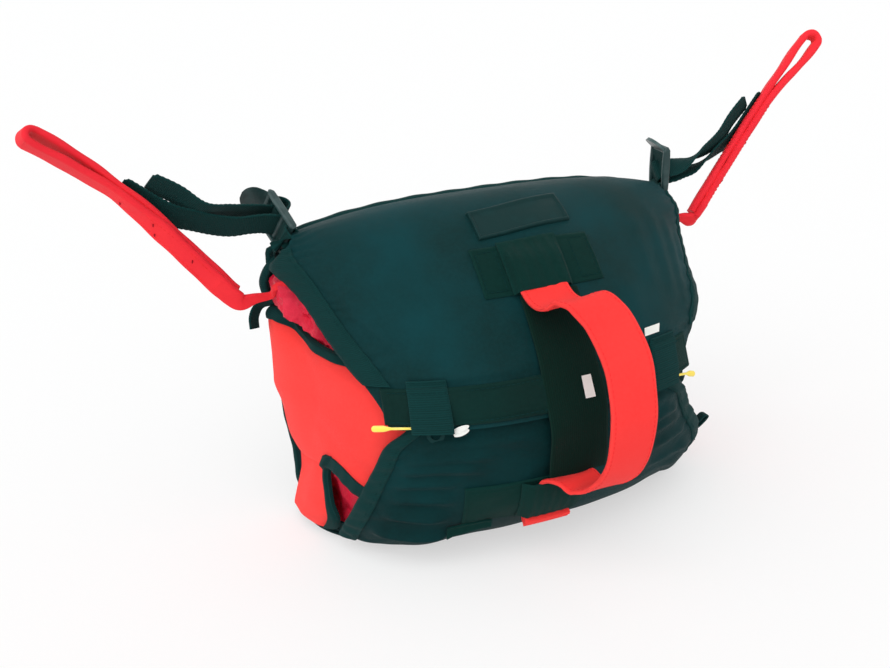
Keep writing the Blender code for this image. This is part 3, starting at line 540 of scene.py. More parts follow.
class Bench:
    """Short hand for wiring the nodes of one material or world."""

    def __init__(self, made: bpy.types.ID) -> None:
        """Start with the nodes that the material or world has of itself."""
        self.made = made
        made.use_nodes = True
        self.tree = made.node_tree
        self.shader = self.tree.nodes.get("Principled BSDF")

    def add(self, kind: str, inputs: dict | None = None, output: int | str = 0, **settings) -> Socket:
        """Add a node, wire or set its inputs and return one output.

        Args:
            kind: Node type without its ShaderNode prefix.
            inputs: Input name or number to a socket or a value.
            output: Which output to return.
            settings: Properties of the node.

        Returns:
            The output socket.
        """
        node = self.tree.nodes.new("ShaderNode" + kind)
        for key, value in settings.items():
            setattr(node, key, value)
        for key, value in (inputs or {}).items():
            if isinstance(value, Socket):
                self.tree.links.new(value, node.inputs[key])
            else:
                node.inputs[key].default_value = value
        return node.outputs[output]

    def math(self, operation: str, first: object, second: object = 0.0) -> Socket:
        """Math node on two values."""
        return self.add("Math", {0: first, 1: second}, operation=operation)

    def ramp(self, value: object, low: float, high: float, first: float, last: float) -> Socket:
        """Map a value from one range to another, held at both ends."""
        return self.add("MapRange", {"Value": value, "From Min": low, "From Max": high,
                                     "To Min": first, "To Max": last})

    def blend(self, share: object, first: object, second: object) -> Socket:
        """Mix two colours."""
        first = (*first, 1.0) if isinstance(first, tuple) else first
        second = (*second, 1.0) if isinstance(second, tuple) else second
        return self.add("Mix", {0: share, 6: first, 7: second}, output=2, data_type="RGBA")

    def plus(self, first: object, second: object, share: float) -> Socket:
        """First value with a share of the second added."""
        return self.math("ADD", first, self.math("MULTIPLY", second, share))

    def tint(self, value: Socket, low: float, high: float, most: float, *colours: object) -> Socket:
        """Mix two colours by a value that rises from none to most between low and high."""
        return self.blend(self.ramp(value, low, high, 0.0, most), *colours)

    def noise(self, scale: float, detail: float = 3.0) -> Socket:
        """Noise over the object's own coordinates, 0 to 1."""
        place = self.add("TexCoord", output="Object")
        return self.add("TexNoise", {"Vector": place, "Scale": scale, "Detail": detail})

    def chart(self) -> tuple[Socket, Socket]:
        """The piece's own chart in metres, across and along."""
        node = self.tree.nodes.new("ShaderNodeSeparateXYZ")
        self.tree.links.new(self.add("TexCoord", output="UV"), node.inputs[0])
        return node.outputs[0], node.outputs[1]

    def ripple(self, value: object, pitch: float) -> Socket:
        """Sine wave of a given pitch."""
        return self.math("SINE", self.math("MULTIPLY", value, 2.0 * math.pi / pitch))

    def wear(self, reach: float) -> Socket:
        """One at the piece's edge, falling to zero at a distance in."""
        edge = self.add("Attribute", output="Fac", attribute_name="edge_distance")
        return self.ramp(edge, 0.0, reach, 1.0, 0.0)

    def seen(self) -> Socket:
        """One for rays from the camera, also those off gloss or through glass."""
        path = self.tree.nodes.new("ShaderNodeLightPath").outputs
        clear = self.math("MAXIMUM", path["Is Glossy Ray"], path["Is Transmission Ray"])
        return self.math("MAXIMUM", path["Is Camera Ray"], clear)

    def dress(self, colour: Socket, roughness: Socket, height: Socket, relief: float,
              **constants: float) -> bpy.types.Material:
        """Wire colour, roughness and relief into the shader and set its constant values."""
        bump = self.add("Bump", {"Height": height, "Distance": relief, "Strength": 1.0})
        for key, socket in (("Base Color", colour), ("Roughness", roughness), ("Normal", bump)):
            self.tree.links.new(socket, self.shader.inputs[key])
        for key, value in constants.items():
            self.shader.inputs[key.replace("_", " ")].default_value = value
        return self.made


@dataclass(frozen=True)
class Cloth:
    """Woven cloth: a fine plain weave, mottled shade, edges blended to a third tone (rubbed edges on most
    cloths, painted edge shade on the red sleeve), and a rip-stop grid where it has one.
    """

    name: str
    slot: str
    colour: Triple
    shade: Triple
    worn: Triple
    roughness: float
    sheen: float = 0.2
    pitch: float = 0.0007
    relief: float = 0.00007
    grid: float = 0.0
    gloss: float = 0.4

    def material(self) -> bpy.types.Material:
        """Make the material's nodes."""
        bench = Bench(bpy.data.materials.new(self.name))
        across, along = bench.chart()
        weave = bench.math("MULTIPLY", bench.ripple(across, self.pitch), bench.ripple(along, self.pitch))
        broad = bench.noise(16.0, 5.0)
        fine = bench.noise(380.0, 2.0)
        colour = bench.tint(broad, 0.35, 0.68, 1.0, self.shade, self.colour)
        colour = bench.tint(fine, 0.35, 0.75, 0.22, colour, self.worn)
        # Edges blend towards the third tone: real rubbing on most cloths, but on the red sleeve a darker tone
        # that is painted shade on the ply edges.
        colour = bench.blend(bench.math("MULTIPLY", bench.wear(0.0025), 0.35), colour, self.worn)
        height = bench.plus(weave, fine, 1.6)
        if self.grid:
            waves = [bench.ripple(way, self.grid) for way in (across, along)]
            thick = bench.math("MAXIMUM", *(bench.math("GREATER_THAN", wave, 0.97) for wave in waves))
            colour = bench.blend(bench.math("MULTIPLY", thick, 0.3), colour, self.worn)
            height = bench.plus(height, thick, 1.5)
        roughness = bench.ramp(broad, 0.3, 0.7, self.roughness - 0.06, self.roughness + 0.08)
        return bench.dress(colour, roughness, height, self.relief, Sheen_Weight=self.sheen,
                           Sheen_Roughness=0.4, Specular_IOR_Level=self.gloss)


@dataclass(frozen=True)
class Webbing:
    """Ribbed woven tape: ribs of one pitch along its length, with finer yarns across and painted shade in the
    rib valleys.
    """

    name: str
    slot: str
    colour: Triple
    shade: Triple
    worn: Triple
    roughness: float = 0.8
    pitch: float = 0.0016
    relief: float = 0.00022
    sheen: float = 0.03
    ribs_along: bool = False

    def material(self) -> bpy.types.Material:
        """Make the material's nodes."""
        bench = Bench(bpy.data.materials.new(self.name))
        across, along = bench.chart()
        if self.ribs_along:
            across, along = along, across
        rib = bench.math("ABSOLUTE", bench.ripple(along, self.pitch * 2.0))
        yarn = bench.ripple(across, 0.0009)
        broad = bench.noise(28.0, 4.0)
        fuzz = bench.noise(700.0, 2.0)
        # Rib valleys take the darker colour: painted shade in the grooves, besides the bump.
        colour = bench.tint(rib, 0.1, 0.8, 1.0, self.shade, self.colour)
        colour = bench.tint(broad, 0.4, 0.75, 0.3, colour, self.shade)
        colour = bench.tint(fuzz, 0.5, 0.8, 0.35, colour, self.worn)
        colour = bench.blend(bench.math("MULTIPLY", bench.wear(0.0012), 0.4), colour, self.worn)
        height = bench.plus(rib, yarn, 0.15)
        height = bench.plus(height, fuzz, 0.4)
        roughness = bench.ramp(fuzz, 0.3, 0.7, self.roughness - 0.06, self.roughness + 0.08)
        return bench.dress(colour, roughness, height, self.relief, Sheen_Weight=self.sheen,
                           Sheen_Roughness=0.5, Specular_IOR_Level=0.09)


@dataclass(frozen=True)
class Moulded:
    """Moulded plastic or pressed metal with a faint grain and scuffs along its edges."""

    name: str
    slot: str
    colour: Triple
    worn: Triple
    roughness: float
    metallic: float = 0.0
    grain: float = 650.0
    gloss: float = 0.4

    def material(self) -> bpy.types.Material:
        """Make the material's nodes."""
        bench = Bench(bpy.data.materials.new(self.name))
        grain = bench.noise(self.grain, 2.0)
        scuff = bench.noise(90.0, 6.0)
        colour = bench.tint(scuff, 0.52, 0.75, 0.5, self.colour, self.worn)
        colour = bench.blend(bench.math("MULTIPLY", bench.wear(0.0006), 0.5), colour, self.worn)
        roughness = bench.ramp(scuff, 0.35, 0.7, self.roughness - 0.08, self.roughness + 0.12)
        return bench.dress(colour, roughness, grain, 0.00005, Metallic=self.metallic,
                           Specular_IOR_Level=self.gloss)


BLACK_NYLON = Cloth("black_nylon", "black_cloth", *tenths((14, 400, 460), (8, 230, 235), (35, 480, 530)),
                    0.55, sheen=0.02, gloss=0.085)
# Darker copy of the black nylon for the lower flap: its colour is painted shade, as the flap faces down; its
# higher roughness and lower gloss are the cloth's own.
SHADED_MATT_NYLON = Cloth("matt_nylon", "black_cloth", *tenths((10, 320, 350), (6, 175, 180), (30, 400, 430)), 0.6,
                   sheen=0.02, gloss=0.075)
# Flap nylon made darker and greener for the pin cover band: painted shadow of the pull handle.
SHADOWED_COVER = Cloth("black_cover", "black_cloth", *tenths((14, 240, 205), (10, 180, 148), (40, 330, 280)),
                    0.6, sheen=0.02, gloss=0.08)
BLACK_LINING = Cloth("black_lining", "black_cloth", *tenths((15, 200, 210), (10, 130, 140), (40, 300, 310)),
                     0.75, sheen=0.02, gloss=0.08)
BLACK_TAPE = Webbing("black_tape", "black_webbing", *tenths((26, 340, 335), (14, 220, 210), (60, 480, 470)),
                     relief=0.00016)
BLACK_PATCH = Cloth("black_patch", "black_webbing", *tenths((18, 290, 240), (12, 220, 180), (45, 400, 350)),
                    0.8, 0.03, 0.0011, 0.00013, gloss=0.08)
BLACK_STRAP = Webbing("black_strap", "black_webbing", *tenths((26, 350, 335), (14, 220, 205), (60, 500, 480)),
                      0.75, 0.0013, 0.0003)
BLACK_BAND = Webbing("black_band", "black_webbing", *tenths((16, 165, 115), (11, 115, 80), (35, 250, 190)),
                     0.85, 0.0017, 0.00012, ribs_along=True)
BLACK_FLEECE = Cloth("black_fleece", "black_webbing",
                     *tenths((30, 300, 290), (15, 180, 170), (200, 700, 680)),
                     0.95, 0.2, 0.0021, 0.0006, gloss=0.05)
PADDED_MESH = Cloth("padded_mesh", "foam_back", *tenths((30, 260, 270), (15, 150, 160), (80, 400, 400)), 0.85,
                    0.1, 0.0026, 0.0005, gloss=0.08)
RED_NYLON = Cloth("red_nylon", "red_cloth", *tenths((10000, 580, 500), (9600, 460, 410), (10000, 850, 750)),
                  0.65, 0.03, gloss=0.12)
RED_GRIP = Cloth("red_grip", "red_webbing", *tenths((10000, 460, 420), (9700, 380, 360), (10000, 660, 600)),
                 0.7, 0.04, 0.0009, 0.00009, gloss=0.12)
RED_TAPE = Webbing("red_tape", "red_webbing", *tenths((9500, 420, 450), (8200, 260, 320), (10000, 700, 700)),
                   0.7, 0.0011, 0.00016)
# The red sleeve's third colour is darker than its own: painted shade on the ply edges, not rubbing.
RED_SLEEVE = Cloth("red_sleeve", "red_webbing", *tenths((9800, 340, 430), (8600, 220, 360), (8400, 180, 380)),
                   0.62, 0.04, gloss=0.14)
CRIMSON_NYLON = Cloth("crimson_nylon", "crimson_cloth",
                      *tenths((8600, 120, 560), (6000, 40, 300), (9200, 400, 850)),
                      0.32, 0.01, 0.0006, 0.00005, 0.005, 0.3)
CANOPY_NYLON = Cloth("canopy_nylon", "canopy_cloth",
                     *tenths((7500, 500, 600), (6000, 300, 400), (8500, 1000, 1000)),
                     0.45, 0.05, 0.0006, 0.00005, 0.006)
WHITE_TAPE = Webbing("white_tape", "white_cloth",
                     *tenths((8600, 8700, 8300), (7600, 7700, 7300), (9200, 9200, 8900)), 0.7, 0.0007, 0.0001)
GREY_RUBBER = Moulded("grey_rubber", "grey_label", *tenths((22, 235, 235), (80, 380, 390)), 0.5, grain=900.0,
                      gloss=0.12)
DARK_PLASTIC = Moulded("dark_plastic", "dark_plastic", *tenths((100, 360, 360), (600, 1100, 1100)), 0.36,
                       gloss=0.4)
YELLOW_PLASTIC = Moulded("yellow_plastic", "yellow_plastic", *tenths((9800, 7600, 1000), (10000, 8600, 3500)),
                         0.4)
DARK_METAL = Moulded("dark_metal", "eyelet_metal", *tenths((25, 260, 270), (60, 400, 400)), 0.5, gloss=0.1)
BLACK_THREAD = Moulded("black_thread", "black_webbing", *tenths((30, 300, 300), (60, 450, 450)), 0.8,
                       grain=2500.0, gloss=0.08)
RED_THREAD = Moulded("red_thread", "red_webbing", *tenths((8600, 300, 320), (9800, 700, 700)), 0.8,
                     grain=2500.0, gloss=0.1)
DARK_RED_THREAD = Moulded("dark_red_thread", "red_webbing", *tenths((3000, 60, 140), (4000, 200, 300)), 0.8,
                          grain=2500.0, gloss=0.1)
FINISHED: dict[str, bpy.types.Material] = {}
Finish = Cloth | Webbing | Moulded


def finish_of(finish: Finish) -> bpy.types.Material:
    """The finish's material, made once."""
    if finish.name not in FINISHED:
        FINISHED[finish.name] = finish.material()
    return FINISHED[finish.name]


@dataclass(frozen=True)
class Bend:
    """Stretch of cloth that turns from its root body to the body that carries the rest of it."""

    root: str
    start: Triple
    end: Triple


def place(name: str, shape: Shape, finish: Finish, body: str, *nodes: str, slot: str = "",
          sharp: float = 55.0, bend: Bend | None = None) -> bpy.types.Object:
    """Put a shape into the scene as a dressed piece that rides on a body, or, given a bend, stays unattached.

    Args:
        name: Piece name.
        shape: Closed shape in metres.
        finish: Finish of the whole piece.
        body: Body that carries it, unless a bend is given.
        nodes: Nodes that it stands for.
        slot: Not used.
        sharp: Edges that turn by more degrees than this stay sharp.
        bend: If given, the transform is baked and the piece is not attached; the stretch itself is not read.

    Returns:
        The new object.
    """
    mesh = bpy.data.meshes.new(name)
    corners = np.concatenate([shape.quads.ravel(), shape.fans.ravel()]).astype(np.int32)
    sizes = np.concatenate([np.full(len(shape.quads), 4), np.full(len(shape.fans), 3)])
    mesh.vertices.add(len(shape.points))
    mesh.vertices.foreach_set("co", shape.points.astype(np.float32).ravel())
    mesh.loops.add(len(corners))
    mesh.loops.foreach_set("vertex_index", corners)
    mesh.polygons.add(len(sizes))
    mesh.polygons.foreach_set("loop_start", (np.cumsum(sizes) - sizes).astype(np.int32))
    mesh.update(calc_edges=True)
    layer = mesh.uv_layers.new(name="chart")
    layer.data.foreach_set("uv", shape.chart[corners].astype(np.float32).ravel())
    edge = mesh.attributes.new("edge_distance", "FLOAT", "POINT")
    edge.data.foreach_set("value", shape.edge.astype(np.float32))
    mesh.validate()
    mesh.shade_smooth()
    mesh.set_sharp_from_angle(angle=math.radians(sharp))
    mesh.materials.append(finish_of(finish))
    piece = bpy.data.objects.new(name, mesh)
    bpy.context.scene.collection.objects.link(piece)
    if bend:
        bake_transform(piece)
    else:
        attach(piece, body)
    if nodes:
        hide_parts(*nodes)
    log.info("%s on %s: %d faces, %s", name, body, len(sizes), finish.name)
    return piece


def strip(heights: Array, left: Array | float, right: Array | float, columns: int) -> tuple[Array, Array]:
    """Grid of (x, height) between two edges, each one number or one for each height."""
    left, right = (np.broadcast_to(edge, heights.shape)[:, None] for edge in (left, right))
    return np.broadcast_arrays(mix(left, right, shares(columns)), heights[:, None])


def soft_wall(wall: float, rim: Array, thin: float, soft: float) -> Array:
    """Wall that falls to a thin share of itself over a soft width at its rim."""
    return wall * (thin + (1.0 - thin) * ease(rim / soft))


def groove(rim: Array, inset: float) -> Array:
    """Dent along a row of stitches at an inset from the rim."""
    return 0.0003 * bell(rim - inset, 0.0007)


@dataclass
class UpperFlap:
    """Main flap over the top and front, with its bindings, label, tuck pocket, pin cover and guards.

    Tables edge, seam and the two cuts pair a height with an inset from the container's half width.
    """

    wall: float = 0.003
    corner: float = 0.022
    edge: Table = tenths(
        (2580, 150), (2500, 70), (2420, 30), (2340, 22), (2222, 62), (2056, 115), (1874, 170),
        (1712, 230), (1601, 295), (1500, 375), (1400, 430), (1000, 460))
    seam: Table = tenths(
        (2580, 125), (2474, 125), (2322, 179), (2158, 228), (2022, 274), (1870, 335), (1743, 401),
        (1598, 474), (1000, 620))
    left_cut: Table = tenths(
        (2580, 0), (2350, 0), (2220, 4), (2056, 18), (1874, 24), (1712, 30), (1601, 18), (1500, 0),
        (1000, 0))
    right_cut: Table = tenths(
        (2580, 0), (1750, 0), (1650, 0), (1570, 20), (1500, 85), (1405, 195), (1300, 220), (1000, 240))
    low: float = 0.124
    bend: Bend = Bend("container", (0.0, -0.001, 0.2528), (0.0, -0.022, 0.2528))
    cover: Triple = (0.129, 0.1272, 0.1525)
    cover_wall: float = 0.0018
    cover_right: float = 0.1115
    cover_flat: float = 0.125
    cover_level: float = 0.15
    cover_gap: float = 0.0005
    guard_middle: Triple = (-0.101, 0.0855, 0.078)
    guard_half: float = 0.0125
    guard_low: float = 0.1232
    guard_high: float = 0.1575
    guard_rise: float = 0.008
    label: tuple[float, float, float, float] = (-0.0375, 0.0405, 0.237, 0.252)
    label_turn: float = 0.045
    patch: Triple = (0.048, 0.202, 0.231)
    pocket: tuple[float, float] = (-0.0035, 0.0235)
    grip_half: float = 0.019
    tab_top: float = 0.0114
    flare: float = 0.004
    flare_height: float = 0.236
    folds: Table = tenths(
        (-1500, 2260, -1180, 1880, 50, 13), (-1400, 2120, -1120, 1760, 45, 11),
        (-1320, 1940, -1000, 1660, 45, 12), (-1200, 2360, -950, 2050, 80, 10),
        (1200, 2400, 1120, 1780, 60, 15), (1340, 2320, 1240, 1700, 55, 16),
        (1460, 2220, 1340, 1680, 50, 14), (1000, 2380, 940, 1900, 80, 12),
        (-1050, 1570, -350, 1600, 50, 12), (400, 1600, 1050, 1560, 50, 12),
        (-800, 2000, -600, 1650, 120, 10), (700, 1980, 660, 1660, 110, 10))

    def half(self, station: Array, side: Side = Side.LEFT) -> Array:
        """Half width on one side: a straight taper over the top, then the edge table and that side's cut."""
        height = FORM.profile(station)[1]
        cut = edge_table(self.left_cut if side is Side.LEFT else self.right_cut, height)
        top = mix(self.corner, self.edge[0][1], station)
        return FORM.half_width - np.where(station < 1.0, top, edge_table(self.edge, height) + cut)

    def border(self, height: Array) -> Array:
        """Half width at which the binding's inner border runs."""
        return FORM.half_width - edge_table(self.seam, height)

    def relief(self, x: Array, station: Array) -> Array:
        """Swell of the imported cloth, its creases, and puckers that die away from the bound edge."""
        height = FORM.profile(station)[1]
        inside = self.border(height) - np.abs(x)
        front = step_up(station, 0.6, 0.8)
        swell = 0.0012 * np.cos(np.clip(x / 0.15, -1.0, 1.0) * math.pi / 2.0) * front
        swell = swell * step_up(height, 0.15, 0.03)
        droop = np.where(station > 1.0, bell(height - self.flare_height, 0.012), 0.0)
        swell = swell + self.flare * droop * step_up(np.abs(x), 0.128, 0.036)
        swell = swell + 0.0042 * step_up(x, 0.108, 0.035) * bell(height - 0.168, 0.016) * front
        drift = Crumple(11, 0.085).field(x, height) * 0.0005 * front
        wander = Crumple(12, 0.03).field(x, height)
        pucker = np.exp(-np.maximum(inside, 0.0) / 0.011) * np.sin(station * 95.0 + 1.3 * wander)
        pucker = pucker * 0.00075 * ease((inside + 0.004) / 0.005) * front
        hem = 0.0008 * bell(height - 0.1545, 0.0025)
        return swell + drift + pucker - hem + folds_lift(self.folds, x, height) * front

    def seat_on(self, x: Array, height: Array) -> Array:
        """Lift of the flap's outer face at a place on the front."""
        return self.wall + self.relief(x, FORM.station_at(height))

    def build_cloth(self) -> None:
        """The flap itself, its two bound edges and its hem."""
        low = FORM.station_at(self.low)
        station = np.concatenate([shares(34), np.linspace(1.0, low, 120)[1:]])[:, None]
        x = mix(-self.half(station), self.half(station, Side.RIGHT), shares(190))
        turn = FORM.turn_at(x)
        relief = self.relief(x, station)
        shape = skin_slab(turn, station, self.wall + relief, relief * 0.6)
        flap = place("upper_flap_cloth", shape, BLACK_NYLON, "upper", "upper_flap", bend=self.bend)
        for side in Side:
            self.build_binding(side)
        self.build_top_hem()

    def build_binding(self, side: Side) -> None:
        """Flat tape folded round the side edge, rippled a little and stitched near its inner border."""
        station = np.linspace(FORM.station_at(0.2515), FORM.station_at(self.cover[2] + 0.001), 150)[:, None]
        share = np.array((0.0, 0.03, 0.1, 0.25, 0.4, 0.55, 0.7, 0.85, 0.94, 0.98, 1.0))[None]
        inner = self.border(FORM.profile(station)[1])
        x = mix(inner, np.maximum(self.half(station, side) + 0.0012, inner + 0.003), share) * side.value
        turn = FORM.turn_at(x)
        relief = self.relief(x, station)
        ripple = 0.00025 * np.sin(station * 130.0 + 2.0 * share) * step_up(share, 0.05, 0.2)
        rolled = -0.0022 * step_up(share, 0.82, 0.18) ** 2
        tape = BINDING_WALL * np.minimum(1.0, share * 12.0 + 0.35)
        over = self.wall + relief + THIN + tape + ripple + rolled
        under = mix(self.wall + relief + SINK, -THIN, step_up(share, 0.6, 0.38))
        name = f"{side.word}_flap_binding"
        place(f"{name}_tape", bound(turn, station, over, under), BLACK_TAPE, "upper", name)
        seam = np.linspace(FORM.station_at(0.2495), FORM.station_at(self.cover[2] + 0.004), 260)
        line = (self.border(FORM.profile(seam)[1]) + 0.0024) * side.value
        turn = FORM.turn_at(line)
        lift = self.wall + self.relief(line, seam) + STITCH_RISE
        stitches = stitched(FORM.surface(turn, seam, lift), FORM.normal(turn, seam))
        place(f"{name}_seam", stitches, BLACK_THREAD, "upper")

    def build_top_hem(self) -> None:
        """Rolled hem along the back of the top, under the fleece edge."""
        x = np.linspace(-0.148, 0.148, 150)
        station = 0.12 + 0.02 * np.sin(x * 90.0)
        lift = self.wall + 0.0006 + 0.0003 * np.sin(x * 210.0)
        path = FORM.surface(FORM.turn_at(x), station, lift)
        shape = sweep(path, -BACK, ellipse(0.0042, 0.002))
        place("upper_flap_hem", shape, BLACK_TAPE, "upper", bend=self.bend)

    def build_label(self) -> None:
        """Blank label with a raised border, turned a little on the flap."""
        left, right, low, high = self.label
        x, height = strip(np.linspace(high, low, 40), left, right, 120)
        rim = np.minimum(np.minimum(x - left, right - x), np.minimum(high - height, height - low) * 1.6)
        raised = 0.001 * ease(rim / 0.0008) + 0.0014 * ease(rim / 0.0008) * step_down(rim, 0.0028, 0.0006)
        height = height + (x - (left + right) / 2.0) * self.label_turn
        lift = self.seat_on(x, height) + GAP
        shape = front_slab(x, height, lift + raised, lift - SINK)
        place("blank_label", shape, GREY_RUBBER, "upper", "label_patch")

    def build_tuck_pocket(self) -> None:
        """Sewn patch with an elastic pocket band that holds the handle's upper tab."""
        half, low, high = self.patch
        x, height = strip(np.linspace(high, low, 44), -half, half, 110)
        lift = self.seat_on(x, height) + GAP
        rim = np.minimum(np.minimum(x + half, half - x), np.minimum(high - height, height - low))
        top = lift + soft_wall(PATCH_WALL, rim, 0.4, 0.001) - groove(rim, 0.0028)
        shape = front_slab(x, height, top, lift - SINK)
        place("upper_tuck_tape", shape, BLACK_PATCH, "upper", "upper_tuck_patch")
        for side in Side:
            outer, inner = side.value * (half - 0.003), side.value * 0.03
            top, foot = high - 0.003, low + 0.003
            corners = [(outer, top), (outer, foot), (inner, foot), (inner, top), (outer, top)]
            spots = np.concatenate([np.linspace(a, b, 30) for a, b in zip(corners, corners[1:])]).T
            lift = self.seat_on(*spots) + GAP + PATCH_WALL + 0.0001
            place(f"{side.word}_tuck_seam", front_seam(*spots, lift), BLACK_THREAD, "upper")
        middle, half = self.pocket
        head, foot = high + 0.001, low - 0.0005
        x, height = strip(np.linspace(head, foot, 40), middle - half, middle + half, 90)
        ramp = ease((half - np.abs(x - middle)) / (half - self.grip_half))
        seat = self.seat_on(x, height) + GAP + PATCH_WALL + SINK
        shut = ease((head - height) / 0.014)
        lift = mix(seat, np.maximum(seat, self.tab_top + 0.0003), ramp * shut)
        gather = 0.00025 * np.sin(x * 2.0 * math.pi / 0.0094 + 60.0 * height) * ramp
        rim = np.minimum(head - height, height - foot)
        top = lift + soft_wall(PATCH_WALL, rim, 0.5, 0.0012) + gather
        shape = front_slab(x, height, top, lift)
        place("upper_tuck_elastic", shape, BLACK_PATCH, "upper", "upper_tuck_pocket")

    def cover_seat(self, x: Array) -> Array:
        """Lift of the cover's underside, which follows the flap just above its lower edge."""
        return self.seat_on(np.clip(x, -self.cover_flat, self.cover_flat), self.cover_level) + self.cover_gap

    def build_cover(self) -> None:
        """Band over the pins along the flap's lower edge, with smooth ends."""
        half, low, high = self.cover
        x, height = strip(np.linspace(high, low, 36), -half, self.cover_right, 240)
        wave = Crumple(21, 0.05).field(x, height) * 0.0004
        seat = self.cover_seat(x)
        rim = np.minimum(np.minimum(x + half, self.cover_right - x), np.minimum(high - height, height - low))
        top = seat + wave + soft_wall(self.cover_wall, rim, 0.4, 0.0012) - groove(rim, 0.003)
        shape = front_slab(x, height, top, THIN)
        # The cover band's darker finish is painted shadow of the handle.
        place("pin_cover_cloth", shape, SHADOWED_COVER, "upper", "pin_cover_band")
        spots = np.linspace(-half + 0.003, self.cover_right - 0.003, 240)
        for level, row in ((high - 0.003, "upper"), (low + 0.0025, "lower")):
            seam = front_seam(spots, level, self.cover_seat(spots) + self.cover_wall)
            place(f"pin_cover_{row}_seam", seam, BLACK_THREAD, "upper", slot="black_cloth")

    def build_guard(self, side: Side) -> None:
        """Ribbed webbing guard from the cover band down over the pin, with real ribs across it."""
        heights = np.linspace(self.guard_high, self.guard_low, 150)
        middle = self.guard_middle[0] if side is Side.LEFT else np.linspace(*self.guard_middle[1:], 150)
        inner = np.full(150, middle - side.value * self.guard_half)
        outer = np.full(150, middle + side.value * self.guard_half)
        x, height = strip(heights, inner, outer, 24)
        out = ease((self.cover[2] - 0.004 - height) / 0.02)
        step = self.cover_gap + self.cover_wall * ease((self.cover[2] + 0.0012 - height) / 0.002) + SINK
        base = self.seat_on(x, np.maximum(height, self.cover_level)) + step
        lift = mix(base, self.guard_rise, out)
        rib = 0.00035 * np.abs(np.sin(height * math.pi / 0.0021))
        rib = rib * ease((self.cover[2] - 0.008 - height) / 0.004)
        rim = np.minimum(np.abs(x - inner[:, None]), np.abs(x - outer[:, None]))
        top = lift + soft_wall(self.cover_wall, rim, 0.5, 0.001) + rib
        shape = front_slab(x, height, top, lift)
        name = f"{side.word}_pin_guard"
        place(f"{name}_tape", shape, BLACK_TAPE, "upper", name)
        for drop in (0.0015, 0.0082):
            level = self.guard_high - drop
            spots = np.linspace(inner[0], outer[0], 40)
            under = 0.0 if level > self.cover[2] else self.cover_wall
            lift = self.seat_on(spots, level) + 0.0008 + self.cover_wall + under
            seam = front_seam(spots, level, lift)
            place(f"{name}_seam_{int(drop * TEN_THOUSAND)}", seam, BLACK_THREAD, "upper")

    def build_tags(self) -> None:
        """Bare white tags: one sewn above the cover, one folded end that peeps out below it."""
        left, right = np.linspace(0.0705, 0.069, 16), np.linspace(0.085, 0.0825, 16)
        x, height = strip(np.linspace(0.1655, 0.1603, 16), left, right, 24)
        lift = self.seat_on(x, height) + GAP
        curl = 0.0012 * step_up(x, 0.08, 0.005)
        shape = front_slab(x, height, lift + 0.0006 + curl, lift + curl * 0.9)
        place("right_flap_tag_tape", shape, WHITE_TAPE, "upper", "right_flap_tag")
        x = np.linspace(-0.089, -0.079, 26)
        share = (x + 0.0905) / 0.013
        path = FORM.at(x, 0.1235 + 0.004 * share, 0.0052 + 0.0012 * np.sin(share * 3.1))
        scale = np.sqrt(np.clip(1.0 - np.linspace(-0.85, 0.98, 26) ** 2, 0.05, 1.0))[:, None]
        across, outline = 0.3 * BACK + UP, stadium(0.0042, 0.001)
        shape = gathered([sweep(path + z * UP, across, outline, scale) for z in (0.0, -0.003)])
        place("left_loop_end", shape, WHITE_TAPE, "upper")

    def build(self) -> None:
        """Build every piece that rides on the upper flap."""
        self.build_cloth()
        self.build_label()
        self.build_tuck_pocket()
        self.build_cover()
        for side in Side:
            self.build_guard(side)
        self.build_tags()


